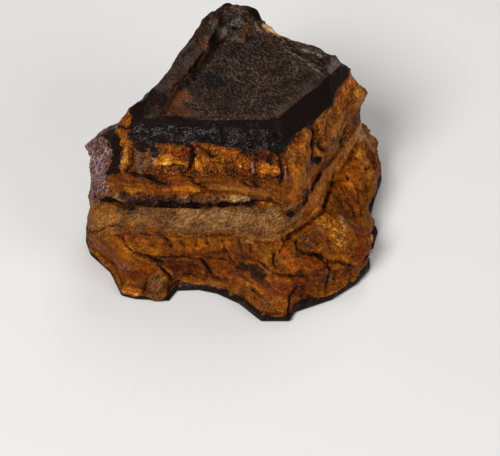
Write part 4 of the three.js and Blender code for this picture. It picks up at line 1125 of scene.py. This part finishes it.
# Grain: noise whose cells are turned and then stretched, its thin contour lines, and a chance value
# for each cell of a broken pattern of the same shape. Fineness is cells per millimetre on each
# axis, and waver is how far the cells are bent, in metres.
def grainGroup():
    tree = bpy.data.node_groups.new("grain", "ShaderNodeTree")
    for name, kind in (("Turn", "Vector"), ("Fineness", "Vector"), ("Detail", "Float"),
                       ("Waver", "Float")):
        tree.interface.new_socket(name=name, in_out="INPUT", socket_type="NodeSocket" + kind)
    for name in ("Grain", "Lines", "Cells"):
        tree.interface.new_socket(name=name, in_out="OUTPUT", socket_type="NodeSocketFloat")
    given = tree.nodes.new("NodeGroupInput").outputs
    place = addNode(tree, "TexCoord").outputs["Object"]
    bend = addNode(tree, "TexNoise", {"Vector": place, "Scale": grainForm["bendSize"], "Detail": 2.0})
    centred = calcVector(tree, "SUBTRACT", {0: bend.outputs["Color"], 1: (0.5, 0.5, 0.5)})
    shift = calcVector(tree, "SCALE", {0: centred, "Scale": given["Waver"]})
    moved = calcVector(tree, "ADD", {0: place, 1: shift})
    turned = addNode(tree, "Mapping", {"Vector": moved, "Rotation": given["Turn"]}).outputs[0]
    cells = {"Vector": calcVector(tree, "MULTIPLY", {0: turned, 1: given["Fineness"]}),
             "Scale": grainForm["perMetre"]}
    noise = addNode(tree, "TexNoise", {**cells, "Detail": given["Detail"], "Roughness": 0.6})
    grain = spread(tree, noise.outputs["Fac"], 0.3, 0.7)
    away = calc(tree, "ABSOLUTE", calc(tree, "SUBTRACT", grain, 0.5), 0)
    broken = addNode(tree, "TexVoronoi", cells)
    parts = addNode(tree, "SeparateColor", {0: broken.outputs["Color"]})
    result = tree.nodes.new("NodeGroupOutput").inputs
    tree.links.new(grain, result["Grain"])
    tree.links.new(spread(tree, away, 0.0, grainForm["lineWidth"], 1.0, 0.0), result["Lines"])
    tree.links.new(parts.outputs[0], result["Cells"])
    return tree


# The finish's colours by tone, from 0 for the darkest to 1.
stoneColours = {
    "gold": [(0.0, (8, 5, 3)), (0.2, (36, 18, 5)), (0.35, (76, 37, 6)), (0.5, (120, 65, 9)),
             (0.65, (162, 97, 17)), (0.82, (210, 144, 42)), (1.0, (246, 202, 112))],
    "redGold": [(0.0, (8, 4, 3)), (0.2, (34, 13, 4)), (0.35, (72, 27, 4)), (0.5, (114, 49, 5)),
                (0.65, (158, 76, 8)), (0.82, (210, 118, 18)), (1.0, (246, 176, 64))],
    "tan": [(0.0, (22, 14, 8)), (0.3, (76, 48, 26)), (0.5, (118, 80, 42)), (0.7, (156, 116, 70)),
            (1.0, (210, 176, 126))],
    "iron": [(0.0, (6, 4, 3)), (0.5, (26, 14, 9)), (0.75, (46, 36, 32)), (1.0, (96, 98, 102))],
    "capCool": [(0.0, (8, 7, 7)), (0.5, (41, 33, 29)), (1.0, (116, 103, 93))],
    "capWarm": [(0.0, (16, 8, 4)), (0.5, (72, 43, 24)), (1.0, (150, 98, 60))],
    "maroon": [(0.0, (22, 10, 11)), (0.5, (98, 66, 63)), (1.0, (186, 156, 152))],
}

# The grains: fineness in cells a millimetre on each axis, turn in degrees, detail, and waver in
# millimetres.
grains = {
    "upright": ((2.4, 2.4, 0.3), (0, 0, 0), 4, 0.6),
    "slanting": ((0.45, 2.6, 2.6), (0, -52, 0), 3, 0.9),
    "hairs": ((4.6, 4.6, 0.8), (0, 0, 0), 1, 0.4),
    "strokes": ((1, 4.6, 4.6), (0, -54, 0), 1, 0.6),
    "bands": ((0.25, 0.25, 1.5), (0, 0, 0), 4, 1.4),
    "speckle": ((3.2, 3.2, 3.2), (0, 0, 0), 4, 0),
    "blotch": ((0.42, 0.42, 0.42), (0, 0, 0), 4, 1),
    "curls": ((1.2, 1.2, 1.7), (0, 0, 0), 1, 1.2),
    "flecks": ((1.5, 1.5, 2.2), (0, 0, 0), 5, 1),
    "wrinkles": ((0.9, 2.9, 2.9), (0, 0, 51), 2, 1.2),
    "scratches": ((1.6, 6, 6), (0, 0, 47), 0, 0.5),
    "staves": ((1.3, 1.3, 0.24), (0, 0, 0), 3, 0.7),
    "facets": ((0.32, 0.5, 0.5), (0, -52, 0), 3, 1.6),
    "crystals": ((0.8, 0.8, 1), (20, 30, 0), 3, 0.5),
    "grit": ((4.8, 4.8, 4.8), (0, 0, 0), 1, 0),
    "hatch": ((0.55, 3.2, 3.2), (0, 40, 0), 2, 0.4),
}

# How far each grain swings what it changes, half up and half down.
swings = {
    "gold": {"fibres": 0.09, "bands": 0.07, "blotch": 0.06}, "goldFine": {"fine": 0.34},
    "goldGrit": {"grit": 0.16}, "staves": {"staves": 0.14}, "facets": {"facets": 0.05},
    "scribble": {"flecks": -0.16}, "tan": {"hatch": 0.44, "blotch": 0.3, "grit": 0.24},
    "cap": {"blotch": 0.24}, "capCoarse": {"wrinkles": 0.1, "scratches": 0.55, "grit": 0.3},
    "iron": {"grit": 0.5, "blotch": 0.16}, "glints": {"flecks": 0.34}, "crystalGrit": {"grit": 0.9},
    "maroon": {"upright": 0.7, "hairs": 0.6, "staves": 0.16}, "redder": {"blotch": 0.5},
    "ironEdge": {"flecks": 0.45, "fibres": 0.45}, "rough": {"fibres": 0.2},
}

# The other amounts: what a grain or a painted share adds at its full value.
stoneFinish = {
    "threads": -0.05, "bandLines": -0.05, "goldLift": 0.01, "curls": 0.42, "scribbleLift": -0.12,
    "capLines": 0.15, "capLift": -0.07, "glintCurls": 0.34, "glintLift": -0.14,
    "glintCells": (0.5, 1, 0, 0.24),  # from which chance value a crystal cell is painted lighter as a glint, and how much
    "featherDulls": -0.45, "featherPlain": -0.8, "silkSmooths": -0.65,
    "edge": (0.35, 0.65),  # how sharp the iron's edge is
    "relief": {"fibres": 0.5, "fine": 0.3, "speckle": 0.2},
    "dullRelief": {"wrinkles": 0.4, "scratches": 0.3, "speckle": 0.3},
    "reliefStrength": 0.7, "reliefDepth": 0.22 * mm,
    "rough": 0.4, "dullRougher": 0.22, "crystalSmoother": -0.14, "silkCoat": 0.3, "crystalCoat": 0.05,
    "coatRough": 0.2,
    "bend": 1.5, "gleam": 0.05,  # index of refraction and specular level
}


# The stone's finish: the colour ramps read a tone, which is the painted one plus the grains, and
# the painted shares mix them. The same grains are its relief.
def stoneMaterial(group):
    material = bpy.data.materials.new("bandedStone")
    material.use_nodes = True
    tree = material.node_tree
    shader = tree.nodes["Principled BSDF"].inputs
    amount = stoneFinish
    share = {name: addNode(tree, "Attribute", attribute_name=name).outputs["Fac"]
             for name in fieldShares}
    value, lines = {}, {}
    for name, (fineness, turn, detail, waver) in grains.items():
        inputs = {"Turn": [math.radians(angle) for angle in turn], "Fineness": fineness,
                  "Detail": detail, "Waver": waver * mm}
        node = addNode(tree, "Group", inputs, node_tree=group)
        chosen = "Cells" if name in ("staves", "facets", "crystals") else "Grain"
        value[name], lines[name] = node.outputs[chosen], node.outputs["Lines"]

    def times(first, second):
        return calc(tree, "MULTIPLY", first, second)

    def total(*values):
        result = values[0]
        for one in values[1:]:
            result = calc(tree, "ADD", result, one)
        return result

    def swung(name):  # the named swings added up
        return total(*[times(calc(tree, "SUBTRACT", value[grain], 0.5), size)
                       for grain, size in swings[name].items()])

    def weighed(name):  # the named grains added up, each by its weight
        return total(*[times(value[grain], weight) for grain, weight in amount[name].items()])

    def lessened(name, loss):  # 1, less a part of a painted share
        return total(times(share[name], amount[loss]), 1)

    def feathered(plain, slanting):  # one value on plain skin, another on feathered skin
        return addNode(tree, "Mix", {0: share["feather"], 2: plain, 3: slanting}).outputs[0]

    value["fibres"] = feathered(value["upright"], value["slanting"])
    value["fine"] = feathered(value["hairs"], value["strokes"])
    threads = feathered(lines["upright"], lines["slanting"])
    sharp = lessened("feather", "featherDulls")
    curls = lines["curls"]
    scribbled = times(share["scribble"], total(times(curls, amount["curls"]), swung("scribble"),
                                               amount["scribbleLift"]))
    # Painted glints on the bevel's crystals: chosen cells, flecks, curls and grit lighten the iron tone
    # towards its pale bluish top.
    glints = total(spread(tree, value["crystals"], *amount["glintCells"]), swung("glints"),
                   times(curls, amount["glintCurls"]), times(swung("crystalGrit"), value["crystals"]),
                   amount["glintLift"])
    tones = {
        "gold": [swung("gold"), times(swung("goldFine"), sharp), times(threads, amount["threads"]),
                 times(lines["bands"], amount["bandLines"]), amount["goldLift"],
                 times(swung("goldGrit"), lessened("feather", "featherPlain")),
                 feathered(swung("staves"), swung("facets")), scribbled],
        "tan": [swung("tan"), scribbled],
        "cap": [times(lessened("silk", "silkSmooths"),
                      total(swung("capCoarse"), times(lines["wrinkles"], amount["capLines"]))),
                swung("cap"), amount["capLift"]],
        "iron": [swung("iron"), times(glints, share["crystal"])],
        "maroon": [swung("maroon")],
    }
    tones = {name: total(share["tone"], *parts) for name, parts in tones.items()}
    tones |= {"redGold": tones["gold"], "capCool": tones["cap"], "capWarm": tones["cap"]}
    coloured = {name: ramp(tree, tones[name], stops) for name, stops in stoneColours.items()}
    coloured["cap"] = mixColour(tree, share["red"], coloured["capCool"], coloured["capWarm"])
    redder = calc(tree, "ADD", share["red"], swung("redder"), clamp=True)
    colour = mixColour(tree, redder, coloured["gold"], coloured["redGold"])
    for name in ("tan", "maroon", "cap"):
        colour = mixColour(tree, share[name], colour, coloured[name])
    ironShare = spread(tree, total(share["iron"], swung("ironEdge")), *amount["edge"])
    colour = mixColour(tree, ironShare, colour, coloured["iron"])

    dull = calc(tree, "MAXIMUM", share["cap"], share["tan"])
    relief = addNode(tree, "Mix", {0: dull, 2: times(sharp, weighed("relief")),
                                   3: weighed("dullRelief")}).outputs[0]
    bump = addNode(tree, "Bump", {"Strength": amount["reliefStrength"],
                                  "Distance": amount["reliefDepth"], "Height": relief}).outputs[0]
    rough = total(swung("rough"), amount["rough"], times(dull, amount["dullRougher"]),
                  times(share["crystal"], amount["crystalSmoother"]))
    coat = total(times(share["silk"], amount["silkCoat"]),
                 times(share["crystal"], amount["crystalCoat"]))
    for name, socket in (("Base Color", colour), ("Roughness", rough), ("Normal", bump),
                         ("Coat Weight", coat)):
        tree.links.new(socket, shader[name])
    shader["Coat Roughness"].default_value = amount["coatRough"]
    shader["IOR"].default_value = amount["bend"]
    shader["Specular IOR Level"].default_value = amount["gleam"]
    return material


# The lump itself.
place, base, zone, push, crackFillAndShade = lumpSkin()
lump = meshOf("tigersEyeLump", place, paint(place, base, zone, push, crackFillAndShade))
lump.data.materials.append(stoneMaterial(grainGroup()))
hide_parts("tigers_eye_lump")
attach(lump, "root")
print(f"lump: {len(lump.data.polygons)} faces")


# The floor, the light and the camera.
studio = {
    "floorSize": 6.0, "floorColour": (236, 234, 231), "floorRough": 0.7,
    "lights": {  # each one's place, width and watts
        "key": ((-0.34, -0.42, 0.62), 0.42, 5.5), "fill": ((0.55, -0.35, 0.35), 0.5, 1.6),
        "back": ((0.1, 0.5, 0.55), 0.4, 1.2)},
    "lightAim": (0, 0, 15 * mm), "world": 0.12,
    "cameraDown": 48, "cameraFar": 0.4, "cameraAim": (2.7 * mm, -16.5 * mm, 13 * mm),
    "cameraLens": 160.1, "cameraNear": 0.01,
}


def buildFloor():
    half = studio["floorSize"] / 2
    mesh = bpy.data.meshes.new("paleFloor")
    mesh.from_pydata([(-half, -half, 0), (half, -half, 0), (half, half, 0), (-half, half, 0)], [],
                     [(0, 1, 2, 3)])
    material = bpy.data.materials.new("palePaper")
    material.use_nodes = True
    shader = material.node_tree.nodes["Principled BSDF"]
    shader.inputs["Base Color"].default_value = light(*studio["floorColour"])
    shader.inputs["Roughness"].default_value = studio["floorRough"]
    mesh.materials.append(material)
    addToScene("paleFloor", mesh)


def aimAt(thing, eye, target):
    thing.location = eye
    thing.rotation_euler = (Vector(target) - Vector(eye)).to_track_quat("-Z", "Y").to_euler()


def addSoftLight(name, eye, width, watts):
    data = bpy.data.lights.new(name, "AREA")
    data.shape = "DISK"
    data.size = width
    data.energy = watts
    aimAt(addToScene(name, data), eye, studio["lightAim"])


def addCamera():
    down, far = math.radians(studio["cameraDown"]), studio["cameraFar"]
    target = studio["cameraAim"]
    eye = (target[0], target[1] - far * math.cos(down), target[2] + far * math.sin(down))
    data = bpy.data.cameras.new("camera")
    data.lens = studio["cameraLens"]
    data.clip_start = studio["cameraNear"]
    camera = addToScene("camera", data)
    aimAt(camera, eye, target)
    bpy.context.scene.camera = camera


def addWorld():
    world = bpy.data.worlds.new("softRoom")
    world.use_nodes = True
    sky = world.node_tree.nodes["Background"].inputs
    sky["Color"].default_value = (1, 1, 1, 1)
    sky["Strength"].default_value = studio["world"]
    bpy.context.scene.world = world


buildFloor()
for name, lamp in studio["lights"].items():
    addSoftLight(name, *lamp)
addCamera()
addWorld()
bpy.context.scene.view_settings.view_transform = "Standard"
print("stage: floor, three soft lights, camera")
